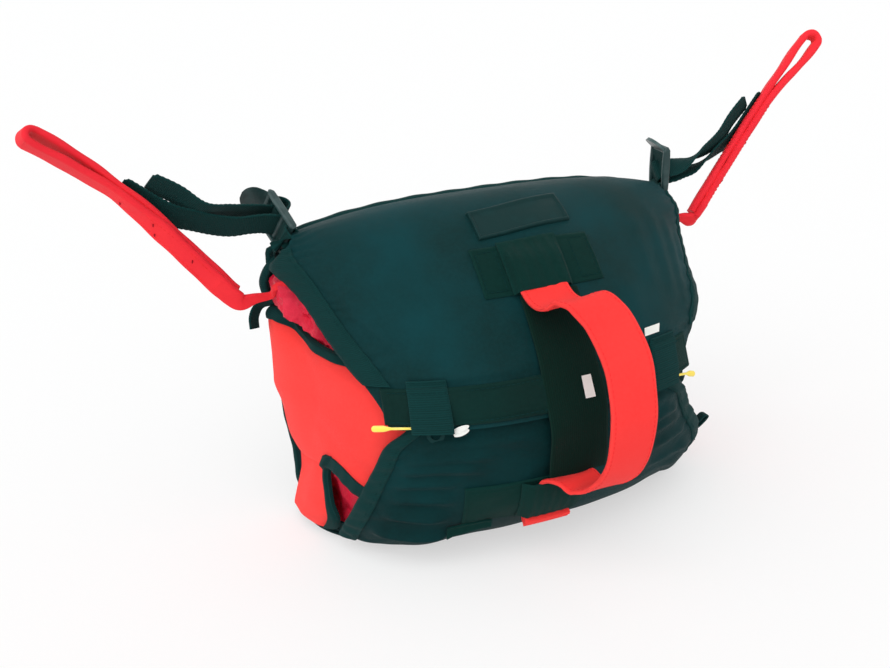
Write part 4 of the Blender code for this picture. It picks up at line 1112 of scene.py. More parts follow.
@dataclass
class LowerFlap:
    """Lower flap that comes up from the base, with its bindings and tuck pocket."""

    over: float = -0.0022
    wall: float = 0.003
    high: float = 0.127
    low: float = 0.012
    edge: Table = tenths(
        (1400, 600), (1230, 560), (1090, 430), (890, 350), (740, 300), (480, 230), (230, 170), (0, 140))
    right_cut: Table = tenths(
        (1400, 270), (1270, 235), (1190, 185), (1090, 145), (985, 110), (850, 80), (700, 45), (500, 15),
        (300, 0), (0, 0))
    binding: float = 0.0105
    right_binding: float = 0.016
    overhang: float = 0.0016
    seam_inset: float = 0.0026
    shift: float = -0.037
    patch: Triple = (0.046, 0.035, 0.075)
    pocket: tuple[float, float] = (-0.0145, 0.0275)
    grip_half: float = 0.019
    tab_top: float = 0.0036
    folds: Table = tenths(
        (-1340, 940, -600, 1000, 42, 22, 40), (-1390, 830, -700, 900, 40, 26, 50),
        (-1410, 720, -820, 780, 40, 24, 40), (-1460, 600, -850, 620, 42, 24, 40),
        (-1500, 470, -950, 470, 38, 42, 30), (-1520, 330, -750, 300, 42, 40, -30),
        (-1100, 1120, -400, 1080, 60, 16, 40), (-600, 1180, 0, 960, 70, 14),
        (1360, 920, 680, 960, 42, 22, -40), (1420, 780, 740, 860, 42, 25, -40),
        (1460, 630, 800, 700, 42, 24, -40), (1500, 460, 850, 500, 46, 24, -30),
        (1100, 1120, 450, 1080, 60, 16, -40), (600, 400, 1300, 280, 60, 20))

    @staticmethod
    def tuck(x: Array, height: Array) -> Array:
        """How far the belly is drawn in under its middle, where the flap turns to the base."""
        span = ease((x + 0.112) / 0.05) * step_down(x, 0.142, 0.045)
        return 0.0115 * step_down(height, 0.068, 0.066) * span

    def half(self, height: Array, side: Array | float = -1.0) -> Array:
        """Half width at a centre height on the side of a sign, with the right-hand corner rounded off."""
        cut = np.where(np.asarray(side) > 0.0, edge_table(self.right_cut, height), 0.0)
        return FORM.half_width - edge_table(self.edge, height) - cut

    @staticmethod
    def rows(high: float, low: float, count: int) -> Array:
        """Heights at even stations from a high to a low one."""
        return FORM.profile(np.linspace(FORM.station_at(high), FORM.station_at(low), count))[1]

    def relief(self, x: Array, height: Array) -> Array:
        """Creases that run in from the bound sides, over a slow drift, flat under the upper flap."""
        inside = self.half(height, x) - np.where(x > 0.0, self.right_binding, self.binding) - np.abs(x)
        free = step_down(height, 0.121, 0.01)
        drift = Crumple(31, 0.075).field(x, height) * 0.0008
        wander = Crumple(32, 0.032).field(x, height)
        pucker = np.exp(-np.maximum(inside, 0.0) / 0.014) * np.sin(height * 430.0 + 1.5 * wander) * 0.00045
        outside = np.maximum(np.abs(x - self.shift) - 0.048, np.abs(height - 0.055) - 0.021)
        under_patch = ease(outside / 0.012)
        folded = 1.35 * folds_lift(self.folds, x, height) * ease((inside + 0.001) / 0.014)
        flare = 0.009 * step_up(x, 0.105, 0.04) * bell(height - 0.052, 0.026)
        return (drift + pucker + folded) * free * mix(0.15, 1.0, under_patch) + flare - self.tuck(x, height)

    def build(self) -> None:
        """Build every piece that rides on the lower flap."""
        heights = self.rows(self.high, self.low, 130)
        x, height = strip(heights, -self.half(heights), self.half(heights, 1.0), 190)
        relief = self.relief(x, height)
        shape = front_slab(x, height, self.over + relief, self.over - self.wall + relief * 0.4)
        # The lower flap takes the darker nylon copy, whose colour is painted shade.
        flap = place("lower_flap_cloth", shape, SHADED_MATT_NYLON, "lower", "lower_flap")
        for side in Side:
            self.build_binding(side)
        self.build_tuck_pocket()

    def build_binding(self, side: Side) -> None:
        """Flat tape folded round the side edge of the flap."""
        heights = self.rows(0.1225 if side is Side.LEFT else 0.1262, self.low, 130)[:, None]
        share = np.array((0.0, 0.04, 0.12, 0.3, 0.5, 0.7, 0.85, 0.94, 0.98, 1.0))[None]
        wide = self.binding if side is Side.LEFT else self.right_binding
        x = (self.half(heights, side.value) + self.overhang - wide * (1.0 - share)) * side.value
        height = np.broadcast_to(heights, x.shape)
        relief = self.relief(x, height)
        ripple = 0.00025 * np.sin(height * 640.0 + 2.0 * share)
        rolled = -0.002 * step_up(share, 0.8, 0.2) ** 2
        tape = BINDING_WALL * np.minimum(1.0, share * 12.0 + 0.35)
        over = self.over + relief + THIN + tape + ripple + rolled
        under = mix(self.over + relief, self.over - self.wall, step_up(share, 0.6, 0.38))
        shape = front_slab(x, height, over, np.minimum(under, over - THIN))
        name = f"{side.word}_lower_binding"
        place(f"{name}_tape", shape, BLACK_TAPE, "lower", name)
        spots = self.rows(0.119, self.low + 0.004, 220)
        line = (self.half(spots, side.value) + self.overhang - wide + self.seam_inset) * side.value
        lift = self.over + self.relief(line, spots) + STITCH_RISE
        place(f"{name}_seam", front_seam(line, spots, lift), BLACK_THREAD, "lower")

    def build_tuck_pocket(self) -> None:
        """Sewn patch low on the flap with the pocket that holds the handle's lower tab."""
        half, low, high = self.patch
        x, height = strip(np.linspace(high, low, 40), self.shift - half, self.shift + half, 100)
        seat = self.over + self.relief(x, height) + GAP
        rim = np.minimum(half - np.abs(x - self.shift), np.minimum(high - height, height - low))
        wave = Crumple(41, 0.03).field(x, height) * 0.0003
        top = seat + soft_wall(PATCH_WALL, rim, 0.4, 0.001) + wave - groove(rim, 0.0028)
        shape = front_slab(x, height, top, seat - SINK)
        place("lower_tuck_tape", shape, BLACK_PATCH, "lower", "lower_tuck_patch")
        middle, half = self.pocket
        head, foot = high - 0.001, low + 0.003
        x, height = strip(np.linspace(head, foot, 40), middle - half, middle + half, 90)
        ramp = ease((half - np.abs(x - middle)) / (half - self.grip_half))
        seat = self.over + self.relief(x, height) + GAP + PATCH_WALL + GAP
        lift = mix(seat, np.maximum(seat, self.tab_top + 0.0006 - self.tuck(x, height)), ramp)
        gather = 0.00022 * np.sin(x * 2.0 * math.pi / 0.0071) * ramp
        rim = np.minimum(head - height, height - foot)
        top = lift + soft_wall(PATCH_WALL, rim, 0.5, 0.0012) + gather
        shape = front_slab(x, height, top, lift)
        place("lower_tuck_elastic", shape, BLACK_PATCH, "lower", "lower_tuck_pocket")
        x, height = strip(np.linspace(low + 0.003, low - 0.003, 14), -0.093, -0.06, 30)
        seat = self.over + self.relief(x, height) + 0.0018
        lift = seat + 0.003 * ease((low + 0.002 - height) / 0.005)
        shape = front_slab(x, height, lift + 0.0016, lift)
        place("lower_tuck_end", shape, BLACK_PATCH, "lower")


@dataclass
class SideFlap:
    """Red flap on one side, with a bound top edge, a slit low down and a turned-out corner below it.

    Tables top and top_tape pair a share of the way to the front with a height or a width.
    """

    side: Side
    over: float = -0.0074
    wall: float = 0.003
    high: float = 0.192
    top: Table = tenths(
        (0, 1915), (1000, 1920), (3100, 1850), (4900, 1765), (6500, 1725), (10000, 1680))
    top_tape: Table = tenths(
        (0, 115), (1200, 105), (3100, 85), (4900, 85), (6500, 85), (10000, 80))
    edge: Table = tenths(
        (1830, 90), (1740, 240), (1620, 450), (1460, 670), (1310, 580), (1230, 560), (1090, 460),
        (890, 380), (740, 330), (480, 260), (140, 180))
    right_edge: Table = tenths(
        (1830, 90), (1740, 240), (1620, 450), (1460, 670), (1310, 800), (1230, 770), (1090, 615),
        (985, 530), (850, 455), (700, 365), (480, 270), (140, 180))
    loop: Table = tenths(
        (1655, -792, 365), (1715, -800, 390), (1795, -805, 445), (1820, -800, 435), (1755, -795, 360),
        (1660, -790, 315))
    heel: Table = tenths(
        (2020, 0), (1880, 134), (1800, 136), (1650, 130), (1520, 135), (1370, 144), (1290, 148),
        (1210, 152), (1140, 138), (1070, 115), (1000, 96), (920, 79), (850, 66), (770, 55), (700, 43),
        (600, 18), (500, 0), (100, 0))
    cut: tuple = (((0.162, 0.148), 0.0155), ((0.174, 0.172), 0.0166))
    eyelet_seat: tuple[float, float, float, float] = (0.953, 0.909, 0.1417, 0.001)
    slit_top: float = 0.072
    slit_place: float = 0.52
    slit_front: float = 0.053
    slit_back: float = 0.064
    tape: float = 0.0115

    def sew(self, name: str, shape: Shape, finish: Finish, *nodes: str) -> bpy.types.Object:
        """Place a piece of this flap, given a bend at its hinge with the back, which leaves it attached to no
        body.
        """
        hinge = self.side.value * FORM.half_width
        bend = Bend("container", (hinge, -0.002, FORM.belly_height), (hinge, -0.022, FORM.belly_height))
        return place(name, shape, finish, f"{self.side.word}_side", *nodes, bend=bend)

    def front_turn(self, height: Array) -> Array:
        """Turn of the front edge at a height."""
        edge = self.edge if self.side is Side.LEFT else self.right_edge
        return FORM.turn_at(FORM.half_width - edge_table(edge, height))

    def hem(self, share: Array) -> Array:
        """Height of the lower hem across the flap, highest at the top of the slit."""
        front = mix(self.slit_top, self.slit_front, ease((share - self.slit_place) / (1.0 - self.slit_place)))
        back = mix(self.slit_back, self.slit_top, ease(share / self.slit_place))
        return np.where(share > self.slit_place, front, back)

    def rim(self, share: Array) -> Array:
        """Height of the top edge across the flap."""
        return np.interp(share, *np.array(self.top).T)

    def swell(self, share: Array, height: Array) -> Array:
        """Fullness of the cloth and a few soft creases."""
        full = 0.0035 * np.sin(clamp(share) * math.pi) * step_down(height, 0.183, 0.03)
        full = full * step_up(height, 0.02, 0.05)
        drift = Crumple(51, 0.07).field(share * 0.13, height) * 0.0008
        crease = 0.0022 * bell(height - 0.1 + 0.06 * (share - 0.5), 0.007) * step_up(share, 0.25, 0.3)
        heel = edge_table(self.heel, height) * step_down(share, 0.34, 0.34)
        seat = self.eyelet_seat[0 if self.side is Side.LEFT else 1]
        ring = ease((0.0135 - np.hypot((share - seat) * 0.145, height - self.eyelet_seat[2])) / 0.004)
        full = full * (1.0 - ring) - self.eyelet_seat[3] * ring
        drift = drift * (1.0 - ring)
        if self.side is Side.LEFT:
            return full + drift - crease * 0.6 + heel
        drawn = step_up(height, 0.074, 0.02) * step_down(height, 0.166, 0.016)
        drawn = drawn * (1.0 - step_up(share, 0.765, 0.06) * step_up(height, 0.128, 0.007))
        return full + drift - crease * 0.6 + heel - 0.013 * drawn

    def grid(self, top: Array, share: Array, hem: Array, rows: int) -> tuple[Array, Array, Array]:
        """Turn, station and height over the flap between its top edge and its hem."""
        down = shares(rows)[:, None]
        height = mix(top[None], hem[None], down)
        turn = mix(FORM.back_turn, self.front_turn(height), share[None])
        return turn * self.side.value, FORM.station_at(height), height

    def build(self) -> None:
        """Build every piece of this side flap."""
        word = self.side.word
        share = shares(110)
        turn, station, height = self.grid(self.rim(share) - 0.002, share, self.hem(share), 120)
        swell = self.swell(share[None], height)
        lining = np.minimum(self.over - self.wall + swell * 0.5, self.over + swell - self.wall * 0.7)
        shape = skin_slab(turn, station, self.over + swell, lining)
        flap = self.sew(f"{word}_side_cloth", shape, RED_NYLON, f"{word}_side_flap")
        self.build_top_tape()
        self.build_slit_tape()
        self.build_corner()
        if self.side is Side.RIGHT:
            path = smooth_line(self.loop, 50)
            self.sew("right_side_loop", sweep(path, BACK, stadium(0.008, 0.0018)), BLACK_TAPE)

    def build_top_tape(self) -> None:
        """Binding along the top edge, with an end that curls out behind."""
        word = self.side.word
        share = np.linspace(0.0, 0.995, 90)[None]
        down = np.array((0.0, 0.04, 0.12, 0.3, 0.5, 0.7, 0.88, 0.96, 1.0))[:, None]
        height = self.rim(share) + 0.001 - np.interp(share, *np.array(self.top_tape).T) * down
        turn = mix(FORM.back_turn, self.front_turn(np.minimum(height, self.high)), share) * self.side.value
        swell = self.swell(share, height)
        ripple = 0.0004 * np.sin(share * 34.0 + 3.0 * down)
        rolled = -0.0016 * step_down(down, 0.16, 0.16) ** 2
        top = self.over + swell + THIN + BINDING_WALL + ripple + rolled
        low = mix(self.over + swell + SINK, self.over - self.wall, step_down(down, 0.35, 0.3))
        shape = bound(turn, FORM.station_at(height), top, low)
        name = f"{word}_side_top_binding"
        self.sew(f"{name}_tape", shape, BLACK_TAPE, name)
        sign = self.side.value
        route = np.array(tenths(
            (1655, -160, 1840), (1700, -60, 1865), (1770, 0, 1880), (1845, 20, 1855), (1895, 10, 1780),
            (1905, -10, 1690)))
        path = smooth_line(route * np.array((sign, 1.0, 1.0)), 40)
        first, last = np.array((0.1 * sign, -0.2, 1.0)), np.array((0.7 * sign, -0.6, 0.35))
        across = mix(first, last, ease(np.linspace(0, 1.4, 40))[:, None])
        width = np.linspace(1.0, 0.9, 40)[:, None]
        self.sew(f"{word}_side_curl", sweep(path, across, stadium(0.013, 0.0022), width), BLACK_TAPE)

    def build_slit_tape(self) -> None:
        """Binding along the hem, up to the top of the slit and down its front side."""
        word = self.side.word
        share = np.linspace(self.slit_place - 0.03, 1.0, 70)
        down = np.array((0.0, 0.05, 0.15, 0.4, 0.65, 0.85, 0.95, 1.0))[:, None]
        hem = self.hem(share)
        height = hem[None] + self.tape * (1.0 - down) - 0.0012 * down
        turn = mix(FORM.back_turn, self.front_turn(height), share[None]) * self.side.value
        swell = self.swell(share[None], height)
        rolled = -0.0018 * step_up(down, 0.8, 0.2) ** 2
        top = self.over + swell + THIN + BINDING_WALL + rolled + 0.0003 * np.sin(share[None] * 55.0)
        low = mix(self.over + swell + SINK, self.over - self.wall - THIN, step_up(down, 0.6, 0.35))
        shape = bound(turn, FORM.station_at(height), top, low)
        name = f"{word}_side_low_binding"
        self.sew(f"{name}_tape", shape, BLACK_TAPE, name)

    def build_corner(self) -> None:
        """Red corner below the slit, pinched at its waist, turned out at its tip and taped in front."""
        word = self.side.word
        down = shares(60)
        spots = np.array((0.0, 0.2, 0.4, 0.6, 0.8, 1.0))
        table = np.array([(0.084, 68.0, -0.008, 0.078, -0.0082), (0.066, 72.0, -0.0062, 0.048, -0.0078),
                          (0.05, 71.0, -0.0044, 0.037, -0.0062), (0.037, 69.4, -0.0034, 0.023, -0.0008),
                          (0.025, 67.0, -0.004, 0.0115, 0.0022), (0.0105, 67.4, -0.006, 0.0075, 0.0006)])
        front, angle, ahead, rear, behind = (hermite(spots, table[:, k], down)[:, None] for k in range(5))

        def sheet(share: Array, extra: Array, wall: float) -> Shape:
            """Skin between the rear and the front edge over a range of shares."""
            turn = np.radians(mix(89.6, angle, share)) * self.side.value
            height = mix(rear, front, clamp(share))
            bulge = 0.0022 * np.sin(clamp(share) * math.pi) * step_down(front, 0.075, 0.02)
            lift = mix(behind, ahead, clamp(share)) + bulge + extra
            return skin_slab(turn, FORM.station_at(height), lift, lift - wall)

        share = shares(46)[None]
        crease = 0.0005 * Crumple(61, 0.03).field(share * 0.05, front + 0.0 * share)
        self.sew(f"{word}_side_corner", sheet(share, crease, 0.0022), RED_NYLON)
        wide = edge_table([(1.0, 0.22), (0.8, 0.12), (0.5, 0.05), (0.25, 0.06), (0.0, 0.1)], down)[:, None]
        edge = 1.035 - (wide + 0.035) * np.linspace(1.0, 0.0, 10)[None]
        rolled = 0.0014 - 0.0022 * step_up(edge, 0.985, 0.05) + 0.0058 * step_up(front, 0.066, 0.01)
        self.sew(f"{word}_side_corner_tape", sheet(edge, rolled, 0.003), BLACK_TAPE)


@dataclass
class Carcass:
    """Back panel, its piping and side gussets, the fleece edge and the base."""

    back_wall: float = 0.006
    margin: float = 0.0015
    corner: float = 0.03
    base_wall: float = 0.003
    base_share: float = 0.97
    piping: float = 0.0026

    def back_top(self, x: Array) -> Array:
        """Height of the panel's top edge."""
        drop = FORM.dome_drop * np.abs(x / FORM.half_width) ** 3 * 0.87
        return FORM.back_height - 0.001 - drop

    @staticmethod
    def waist(height: Array) -> Array:
        """Factor on the panel's width, which is drawn in a little towards its foot."""
        return 1.0 - 0.029 * step_down(height, 0.1, 0.05)

    def back_half(self, height: Array, inset: float) -> Array:
        """Half width of the panel at a height, drawn in round the lower corners."""
        low = self.base_wall + GAP + inset
        radius = self.corner - inset
        below = np.clip(radius - (height - low), 0.0, radius)
        half = FORM.half_width + self.margin - inset - radius + np.sqrt(radius ** 2 - below ** 2)
        return half * self.waist(height)

    def build(self) -> None:
        """Build every piece fixed to the container but the pack."""
        self.build_back()
        self.build_piping()
        self.build_base()
        self.build_fleece()
        for side in Side:
            self.build_gusset(side)
            self.build_collar(side)

    def build_back(self) -> None:
        """Foam back panel quilted in channels, softer towards its edge."""
        inset = 0.003
        low = self.base_wall + GAP + inset
        v = shares(110)[:, None]
        u = np.linspace(-1.0, 1.0, 150)[None]
        linear = low + (FORM.back_height - 0.004 - low) * v
        x = self.back_half(linear, inset) * u
        z = low + (self.back_top(x) - inset - low) * v
        rim = np.minimum((1.0 - np.abs(u)) * 0.17, np.minimum(v, 1.0 - v) * 0.24)
        channel = np.minimum(np.abs(np.abs(x) - 0.058), np.abs(z - 0.128) + 0.0 * x)
        puff = 0.0022 * (1.0 - bell(channel, 0.006)) * ease(rim / 0.012)
        y = GAP + self.back_wall - 0.0015 + puff - 0.003 * (1.0 - ease(rim / 0.006))
        x, y, z = np.broadcast_arrays(x, y, z)
        shape = slab(np.stack([x, y, z], -1), np.stack([x, np.full_like(y, GAP), z], -1))
        panel = place("back_padding", shape, PADDED_MESH, "container", "back_panel")

    def outline(self, inset: float, count: int) -> Array:
        """Closed outline of the back panel as (x, z), going round from the lower left."""
        low = self.base_wall + GAP + inset
        half = FORM.half_width + self.margin - inset
        radius = self.corner - inset
        turn = np.linspace(-math.pi / 2.0, 0.0, 14)
        right = np.stack([half - radius + radius * np.cos(turn), low + radius + radius * np.sin(turn)], -1)
        top_x = np.linspace(half, -half, 90)
        top = np.stack([top_x, self.back_top(top_x) - inset], -1)
        left = right[::-1] * np.array((-1.0, 1.0))
        ring = np.concatenate([right, top, left, right[:1]])
        length = chord(ring)
        steps = np.linspace(0.0, length[-1], count, endpoint=False)
        even = np.stack([np.interp(steps, length, ring[:, k]) for k in range(2)], -1)
        even[:, 0] *= self.waist(even[:, 1])
        return even

    def build_piping(self) -> None:
        """Round piping along the panel's whole edge."""
        ring = self.outline(self.piping * 0.8, 420)
        path = np.stack([ring[:, 0], np.full(len(ring), GAP + self.back_wall * 0.5), ring[:, 1]], -1)
        wobble = 1.0 + 0.05 * np.sin(np.arange(420) * 0.9)[:, None]
        shape = sweep(path, BACK, ellipse(0.0031, self.piping), wobble, loop=True)
        place("back_piping", shape, BLACK_TAPE, "container", "back_binding")

    def build_base(self) -> None:
        """Base panel with a rounded, slightly sagging edge, flat where it stands."""
        turn = np.linspace(-FORM.back_turn, FORM.back_turn, 130)
        foot = FORM.point(turn, np.full_like(turn, 3.0))
        share = np.concatenate([np.linspace(0.02, 0.9, 24), np.linspace(0.92, 1.0, 8)])[:, None]
        x = foot[None, :, 0] * self.base_share * share ** 0.15
        y = mix(self.back_wall, foot[None, :, 1] * self.base_share, share)
        rim = 1.0 - share
        over = np.stack(np.broadcast_arrays(x, y, self.base_wall - 0.0006 * (1.0 - ease(rim / 0.03))), -1)
        under = np.stack(np.broadcast_arrays(x, y, 0.0008 * (1.0 - ease(rim / 0.03))), -1)
        place("base_cloth", slab(over, under), BLACK_LINING, "container", "base_panel")
        turn = np.linspace(-INNER_TURN, INNER_TURN, 140)[None]
        station = np.linspace(FORM.station_at(0.017), 3.0, 18)[:, None]
        x = FORM.half_width * FORM.across(turn)
        lift = -0.0088 + 0.0004 * np.sin(turn * 40.0) - LowerFlap.tuck(x, FORM.profile(station)[1])
        skirt = skin_slab(turn, station, lift, lift - 0.002)
        skirt.points[:, 2] = np.maximum(skirt.points[:, 2], 0.0009)
        place("base_skirt", skirt, BLACK_LINING, "container")

    def build_fleece(self) -> None:
        """Rough fleece edge that stands just above the back of the flap, in many small tufts."""
        draw = np.random.default_rng(7)
        count = 1500
        x = np.sort(draw.uniform(-0.14, 0.14, count))
        tall = 0.0012 + 0.0016 * draw.random(count)
        lean = draw.uniform(-0.0012, 0.0012, (count, 2))
        y = 0.0035 + draw.uniform(-0.0022, 0.0022, count)
        foot = np.stack([x, y, self.back_top(x) + 0.0012], -1)
        turn = np.arange(3) * 2.0 * math.pi / 3.0
        ring = np.stack([np.cos(turn), np.sin(turn), np.zeros(3)], -1) * 0.0006
        base = foot[:, None] + ring[None]
        tip = foot + np.stack([lean[:, 0], lean[:, 1], tall], -1)
        points = np.concatenate([base, tip[:, None]], 1).reshape(-1, 3)
        each = np.array([(0, 1, 3), (1, 2, 3), (2, 0, 3), (2, 1, 0)])
        fans = (each[None] + (np.arange(count) * 4)[:, None, None]).reshape(-1, 3)
        tufts = Shape(points, np.zeros((0, 4), int), fans, np.zeros((count * 4, 2)), np.zeros(count * 4))
        line = np.linspace(-0.142, 0.142, 120)
        path = np.stack([line, np.full(120, 0.0035), self.back_top(line) + 0.0004], -1)
        roll = sweep(path, BACK, ellipse(0.003, 0.0018, 10))
        place("fleece_edge", gathered([roll, tufts]), BLACK_FLEECE, "container")

    def build_gusset(self, side: Side) -> None:
        """Black gusset strip from the back edge round the lower side, behind the red flap."""
        height = np.linspace(0.125, 0.016, 50)[:, None]
        deep = edge_table([(0.125, 0.002), (0.1, 0.006), (0.07, 0.012), (0.04, 0.013), (0.016, 0.01)], height)
        share = shares(14)[None]
        bow = np.sin(share * math.pi * 0.5)
        x = (FORM.half_width + self.margin - 0.0008 - 0.0065 * bow ** 2) * side.value * self.waist(height)
        y = 0.0045 - deep * share
        over = np.stack(np.broadcast_arrays(x, y, height), -1)
        under = over - np.array((side.value * 0.0022, 0.0, 0.0))
        place(f"{side.word}_gusset", slab(over, under), BLACK_LINING, "container")

    def build_collar(self, side: Side) -> None:
        """Soft bound edge of the back that swells out beside the pod's corner."""
        route = np.array(tenths(
            (1540, 30, 2310), (1630, 20, 2255), (1705, 10, 2185), (1760, 5, 2125), (1791, 5, 2050),
            (1785, 5, 1970), (1762, 15, 1900), (1730, 30, 1830)))
        path = smooth_line(route * np.array((side.value, 1.0, 1.0)), 60)
        girth = [(1.0, 0.5), (0.8, 0.9), (0.5, 1.0), (0.2, 0.9), (0.0, 0.5)]
        slim = edge_table(girth, shares(60))[:, None]
        shape = sweep(path, BACK, ellipse(0.0052, 0.0034, 14), slim)
        place(f"{side.word}_back_collar", shape, BLACK_TAPE, "container")


@dataclass
class Pack:
    """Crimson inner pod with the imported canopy, line pocket and lanyard inside."""

    depth: float = 0.0145
    wall: float = 0.002
    back: float = 0.012
    lines: Triple = (0.06, 0.06, 0.19)

    def build(self) -> None:
        """Build the pack's pieces."""
        self.build_pod()
        self.build_canopy()
        self.build_lines()

    @staticmethod
    def drawn(turn: Array, height: Array) -> Array:
        """How far the pack is drawn in at the right, where the flaps leave it free."""
        span = step_up(height, 0.074, 0.02) * step_down(height, 0.166, 0.016)
        return 0.0135 * span * step_up(turn, 0.52, 0.25)

    def lift(self, turn: Array, station: Array) -> Array:
        """Pod depth, fuller where it shows at the sides, with sharp crinkles."""
        height = FORM.profile(station)[1]
        side = step_up(np.abs(turn), 1.02, 0.35)
        brink = 0.169 + 0.018 * step_up(np.abs(turn), 1.15, 0.26)
        upper = ease((height - brink) / 0.013) * step_down(height, 0.24, 0.02)
        upper = np.where(station > 1.0, upper, 0.0)
        rear = step_up(np.abs(turn), 1.44, 0.1)
        brow = FORM.turn_at(UpperFlap().half(np.maximum(station, 1.001)))
        beside = ease((np.abs(turn) - brow + 0.01) / 0.14) * upper * side
        low = step_down(height, 0.06, 0.03) * step_up(np.abs(turn), 1.15, 0.2)
        girth = turn * PACK_GIRTH
        drawn = 1.0 - np.abs(Crumple(71, 0.034).field(girth, height))
        sharp = 1.0 - np.abs(Crumple(72, 0.016).field(girth, height))
        crinkle = (0.002 * drawn + 0.0008 * sharp) * mix(1.0, 2.3, side * upper)
        crinkle = crinkle * mix(0.5, 1.25, side) * (1.0 - 0.8 * rear)
        fullness = side * upper * 0.008 + beside * 0.0095 + crinkle
        tuck = LowerFlap.tuck(FORM.half_width * FORM.across(turn), height)
        sunk = self.depth + 0.001 + 0.006 * rear * (1.0 - upper) + 0.0085 * low
        return fullness - sunk - tuck - self.drawn(turn, height)

    def build_pod(self) -> None:
        """Soft shell with its crinkles, open at the back."""
        station = np.linspace(0.14, 3.2, 170)[:, None]
        turn = np.linspace(-POD_TURN, POD_TURN, 230)[None]
        lift = self.lift(turn, station)
        over = FORM.surface(turn, station, lift)
        under = FORM.surface(turn, station, lift - self.wall)
        widest = FORM.half_width - mix(0.022, -0.003, step_up(station, 1.06, 0.2))
        widest = widest - 0.0065 * step_up(station, 1.85, 0.2)
        for face, inner in ((over, 0.0), (under, self.wall)):
            face[..., 0] = np.clip(face[..., 0], inner - widest, widest - inner)
            face[..., 1] = np.minimum(face[..., 1], -0.0006)
        place("pod_cloth", slab(over, under), CRIMSON_NYLON, "container", "inner_pod")

    def build_canopy(self) -> None:
        """Canopy packed in flat folds inside the pod."""
        station = np.linspace(0.25, 3.1, 120)[:, None]
        turn = np.linspace(-INNER_TURN, INNER_TURN, 120)[None]
        height = FORM.profile(station)[1]
        layers = 0.0014 * np.abs(np.sin(height * math.pi / 0.016))
        layers = layers + 0.0006 * Crumple(81, 0.05).field(turn * PACK_GIRTH, height)
        tuck = LowerFlap.tuck(FORM.half_width * FORM.across(turn), height)
        over = FORM.surface(turn, station, layers - 0.0235 - tuck - self.drawn(turn, height))
        over[..., 0] = np.clip(over[..., 0], 0.03 - FORM.half_width, FORM.half_width - 0.03)
        over[..., 2] = np.minimum(over[..., 2], 0.232)
        under = over.copy()
        over[..., 1] = np.minimum(over[..., 1], -self.back - 0.002)
        under[..., 1] = -self.back
        canopy = place("canopy_folds", slab(over, under), CANOPY_NYLON, "container", "packed_canopy")

    def build_lines(self) -> None:
        """Line pocket behind the canopy and the lanyard down the front of the pod."""
        half, low, high = self.lines
        u = np.linspace(-1.0, 1.0, 60)[None]
        v = shares(60)[:, None]
        rim = np.minimum(1.0 - np.abs(u), np.minimum(v, 1.0 - v) * 2.0)
        bulge = ease(rim / 0.25)
        x = half * u + 0.0 * v
        z = mix(low, high, v) + 0.0 * u
        front = np.stack([x, -0.0011 - 0.0095 * bulge, z], -1)
        back = np.stack([x, np.full_like(x, -0.0006), z], -1)
        place("line_pocket_cloth", slab(front, back), WHITE_TAPE, "container", "line_pocket")
        x, height = strip(np.linspace(0.15, 0.07, 50), -0.01, 0.01, 16)
        lift = self.lift(FORM.turn_at(x), FORM.station_at(height)) + 0.0008
        shape = front_slab(x, height, lift + 0.0018, lift)
        place("pod_lanyard_tape", shape, RED_TAPE, "container", "pod_lanyard")


